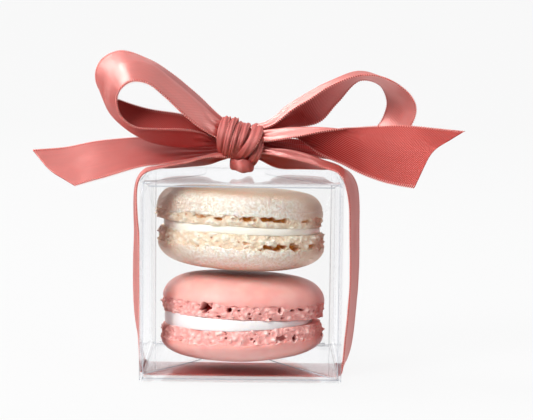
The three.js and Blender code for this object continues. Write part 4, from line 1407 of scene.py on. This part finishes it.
class MACARONBOX_OT_stage(bpy.types.Operator):
    """Makes the pale floor that curves up all round, and the soft studio light"""

    bl_idname = "macaronbox.stage"
    bl_label = "Stage"

    def execute(self, context):
        settings = context.scene.macaronbox_stage
        # a round sweep: flat floor, a quarter bend and an upright wall, carried round the middle
        reach, bend, wall_top, sides = 1.1, 0.5, 2.4, 96
        arc = arc_points((reach, bend), bend, -90, 0, 20)
        profile = np.concatenate([[[0.02, 0], [0.5, 0]], arc, [[reach + bend, wall_top]]])
        turn = np.linspace(0, 2 * math.pi, sides, endpoint=False)
        circle = np.stack([np.cos(turn), np.sin(turn), 0 * turn], -1)
        points = profile[:, :1, None] * circle[None] + profile[:, 1:, None] * np.array([0, 0, 1.0])
        points = np.concatenate([points.reshape(-1, 3), [[0, 0, 0]]])
        count = len(profile) * sides
        faces = [grid_faces(len(profile), sides, around=True), fan_faces(count, np.arange(sides))]
        floor = make_piece("backdrop", points, faces)
        floor.data.flip_normals()
        floor.data.materials.append(paper_material("white background paper", "#3A3A3A", 0.90))
        floor.visible_diffuse = False
        floor.visible_glossy = False
        floor.visible_shadow = False
        soft_light("window", (-0.82, 0.34, 0.95), 0.4, settings.window_power)
        soft_light("key", (-0.68, -0.78, 0.85), 0.5, settings.key_power)
        soft_light("card", (-0.95, -0.6, 0.3), 0.5, 0.35 * settings.key_power)
        soft_light("fill", (0.85, -0.6, 0.35), 0.5, settings.fill_power)
        world = bpy.data.worlds.new("room")
        world.use_nodes = True
        tree = world.node_tree
        tree.nodes.clear()
        # the room is bright overhead and dark in front, and the paper is lit behind and below
        way = add_node(tree, "TexCoord", give="Generated")
        ahead, height = (add_node(tree, "SeparateXYZ", {0: way}, axis) for axis in "YZ")
        overhead = add_node(tree, "MapRange", {"Value": height, "To Min": 0.1, "To Max": 1.1})
        behind = {"Value": ahead, "From Min": 0.35, "From Max": 0.97, "To Max": 0.85}
        behind = add_node(tree, "MapRange", behind)
        below = add_node(tree, "MapRange", {"Value": height, "From Min": -0.1, "From Max": -0.6})
        around = add_node(tree, "Math", {0: behind, 1: below}, operation="ADD")
        lit = {0: overhead, 1: settings.sky, 2: around}
        strength = add_node(tree, "Math", lit, operation="MULTIPLY_ADD")
        background = add_node(tree, "Background", {"Color": linear("#FAFAFC"), "Strength": strength})
        add_node(tree, "OutputWorld", {"Surface": background})
        context.scene.world = world
        context.scene.view_settings.view_transform = "Standard"
        context.scene.cycles.transparent_max_bounces = 32
        return {"FINISHED"}


def soft_light(name, place, size, power):
    """A square area light that looks at the middle of the box."""
    data = bpy.data.lights.new(name, "AREA")
    data.size = size
    data.energy = power
    lamp = bpy.data.objects.new(name, data)
    target = Vector((0, 0, 35 * MM))
    lamp.location = place
    lamp.rotation_euler = (target - Vector(place)).to_track_quat("-Z", "Y").to_euler()
    bpy.context.scene.collection.objects.link(lamp)


class MACARONBOX_OT_clear_box(bpy.types.Operator):
    """Folds the clear box: its walls, lid, base and dust flaps"""

    bl_idname = "macaronbox.clear_box"
    bl_label = "Clear Box"

    def execute(self, context):
        settings = context.scene.macaronbox_film
        pieces = [side_walls(settings), *lid_and_base(settings)]
        for level, lower in (("lower", True), ("upper", False)):
            left = ((-17.8 * MM, 2.1 * MM), (23.8 * MM, 20 * MM), 15.1 * MM)
            right = ((-23.4 * MM, 3.6 * MM), (23.8 * MM, 20 * MM), 19.1 * MM)
            pieces.append(dust_flap(f"dust_flap_left_{level}", -1, lower, settings, *left))
            pieces.append(dust_flap(f"dust_flap_right_{level}", 1, lower, settings, *right))
        film = named_material("clear PET film", film_material)
        edge = named_material("die cut PET edge", film_edge_material)
        for piece in pieces:
            dress(piece, "clear_film", film, edge)
            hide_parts("clear_box")
        return {"FINISHED"}


class MACARONBOX_OT_macarons(bpy.types.Operator):
    """Bakes and fills the two macarons"""

    bl_idname = "macaronbox.macarons"
    bl_label = "Macarons"

    def execute(self, context):
        settings = context.scene.macaronbox_macarons
        # after the name and the dome's colour: the foot's bulges painted pale as light, the foot painted
        # darker between them as shade, browning with painted shade on the crown, painted shade in the hollows
        shells = {
            "pink": shell_material(
                "pink almond meringue", settings.pink, "#FCD5CE", "#F0A7A0", "#E2908A", "#820C0C", 0.0
            ),
            "cream": shell_material(
                "pearled almond meringue", settings.cream, "#FFFAEF", "#F2E3CC", "#DBBC96", "#DC9440", 1.0
            ),
        }
        fillings = {
            "pink": filling_material("white buttercream", "#F1EEED", "#E8E4E3"),
            "cream": filling_material("ivory buttercream", "#FCF8EE", "#F3EBDB"),
        }
        slots = {"pink": ("pink_shell", "white_filling"), "cream": ("cream_shell", "ivory_filling")}
        for flavour in MACARONS:
            bottom, middle, top = make_macaron(flavour, settings)
            shell_slot, filling_slot = slots[flavour]
            dress(bottom, shell_slot, shells[flavour])
            dress(middle, filling_slot, fillings[flavour])
            dress(top, shell_slot, shells[flavour])
            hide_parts(f"{flavour}_bottom_shell")
            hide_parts(f"{flavour}_filling")
            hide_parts(f"{flavour}_top_shell")
        return {"FINISHED"}


class MACARONBOX_OT_knot(bpy.types.Operator):
    """Winds the bow's knot"""

    bl_idname = "macaronbox.knot"
    bl_label = "Knot"

    def execute(self, context):
        settings = context.scene.macaronbox_ribbon
        knot = knot_piece(settings)
        pulled_tight = named_material("polyester satin pulled tight", ribbon_material, settings, True, 0.68)
        dress(knot, "satin", pulled_tight)
        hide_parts("ribbon_knot")
        return {"FINISHED"}


# Each length of ribbon, as strip_piece takes it. depth and turned say how much painted shade each face gets
# by the knot and past the crease.
BOTH_ENDS = ("start", "end")
RIBBONS = {
    "ribbon_band": dict(
        stations=BAND, knot_ends=BOTH_ENDS, seed=3, satin_side=-1, softness=0.08, depth=((0.8, 0.1), (0.8, 0))
    ),
    "left_loop": dict(
        stations=LEFT_LOOP,
        knot_ends=BOTH_ENDS,
        seed=5,
        satin_side=-1,
        softness=0.06,
        depth=((0.5, 0), (0.6, 0.9)),
        turned=0.6,
    ),
    "right_loop": dict(
        stations=RIGHT_LOOP,
        knot_ends=BOTH_ENDS,
        seed=8,
        satin_side=0,
        softness=0.16,
        depth=((0, 0.7), (1, 1)),
        pleat_reach=24 * MM,
    ),
    "left_tail": dict(
        stations=LEFT_TAIL,
        knot_ends=("start",),
        seed=12,
        satin_side=-1,
        softness=0.16,
        depth=((0.4, 0.7), (0, 0)),
    ),
    "right_tail": dict(
        stations=RIGHT_TAIL,
        knot_ends=("start",),
        seed=15,
        satin_side=1,
        softness=0.14,
        depth=((0, 1), (0, 0)),
        pleat_reach=7 * MM,
    ),
}


def lay_ribbon(context, node):
    """Makes one length of ribbon and dresses it."""
    settings = context.scene.macaronbox_ribbon
    piece, length = strip_piece(f"{node}_satin", settings=settings, **RIBBONS[node])
    face = named_material("polyester satin face", ribbon_material, settings, True, 0.35)
    back = named_material("polyester satin back", ribbon_material, settings, False, 0.46)
    dress(piece, "satin", face, back)
    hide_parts(node)


class MACARONBOX_OT_band(bpy.types.Operator):
    """Lays the ribbon round the box"""

    bl_idname = "macaronbox.band"
    bl_label = "Band"

    def execute(self, context):
        lay_ribbon(context, "ribbon_band")
        return {"FINISHED"}


class MACARONBOX_OT_loops(bpy.types.Operator):
    """Makes the bow's two loops"""

    bl_idname = "macaronbox.loops"
    bl_label = "Loops"

    def execute(self, context):
        for node in ("left_loop", "right_loop"):
            lay_ribbon(context, node)
        return {"FINISHED"}


class MACARONBOX_OT_tails(bpy.types.Operator):
    """Makes the bow's two cut ends"""

    bl_idname = "macaronbox.tails"
    bl_label = "Tails"

    def execute(self, context):
        for node in ("left_tail", "right_tail"):
            lay_ribbon(context, node)
        return {"FINISHED"}


class MACARONBOX_PT_panel(bpy.types.Panel):
    """Lists the steps that build the box of macarons"""

    bl_idname = "MACARONBOX_PT_panel"
    bl_label = "Box of Macarons"
    bl_space_type = "VIEW_3D"
    bl_region_type = "UI"
    bl_category = "Macarons"

    def draw(self, context):
        layout = self.layout
        for step in STEPS:
            layout.operator(step.bl_idname)
        for label, group in SETTINGS.items():
            box = layout.box()
            for name in group.__annotations__:
                box.prop(getattr(context.scene, label), name)


SETTINGS = {
    "macaronbox_film": FilmSettings,
    "macaronbox_macarons": MacaronSettings,
    "macaronbox_ribbon": RibbonSettings,
    "macaronbox_stage": StageSettings,
}
STEPS = (
    MACARONBOX_OT_camera,
    MACARONBOX_OT_stage,
    MACARONBOX_OT_macarons,
    MACARONBOX_OT_clear_box,
    MACARONBOX_OT_knot,
    MACARONBOX_OT_loops,
    MACARONBOX_OT_tails,
    MACARONBOX_OT_band,
)


def register():
    """Registers the classes and adds their settings to the scene."""
    for cls in (*SETTINGS.values(), *STEPS, MACARONBOX_PT_panel):
        bpy.utils.register_class(cls)
    for label, group in SETTINGS.items():
        setattr(bpy.types.Scene, label, PointerProperty(type=group))


def unregister():
    """Takes the settings and the classes away again."""
    for label in SETTINGS:
        delattr(bpy.types.Scene, label)
    for cls in reversed((*SETTINGS.values(), *STEPS, MACARONBOX_PT_panel)):
        bpy.utils.unregister_class(cls)


def main():
    """Runs every step in order."""
    register()
    for step in STEPS:
        group, name = step.bl_idname.split(".")
        getattr(getattr(bpy.ops, group), name)()
    bpy.context.view_layer.update()


if __name__ == "__main__":
    main()
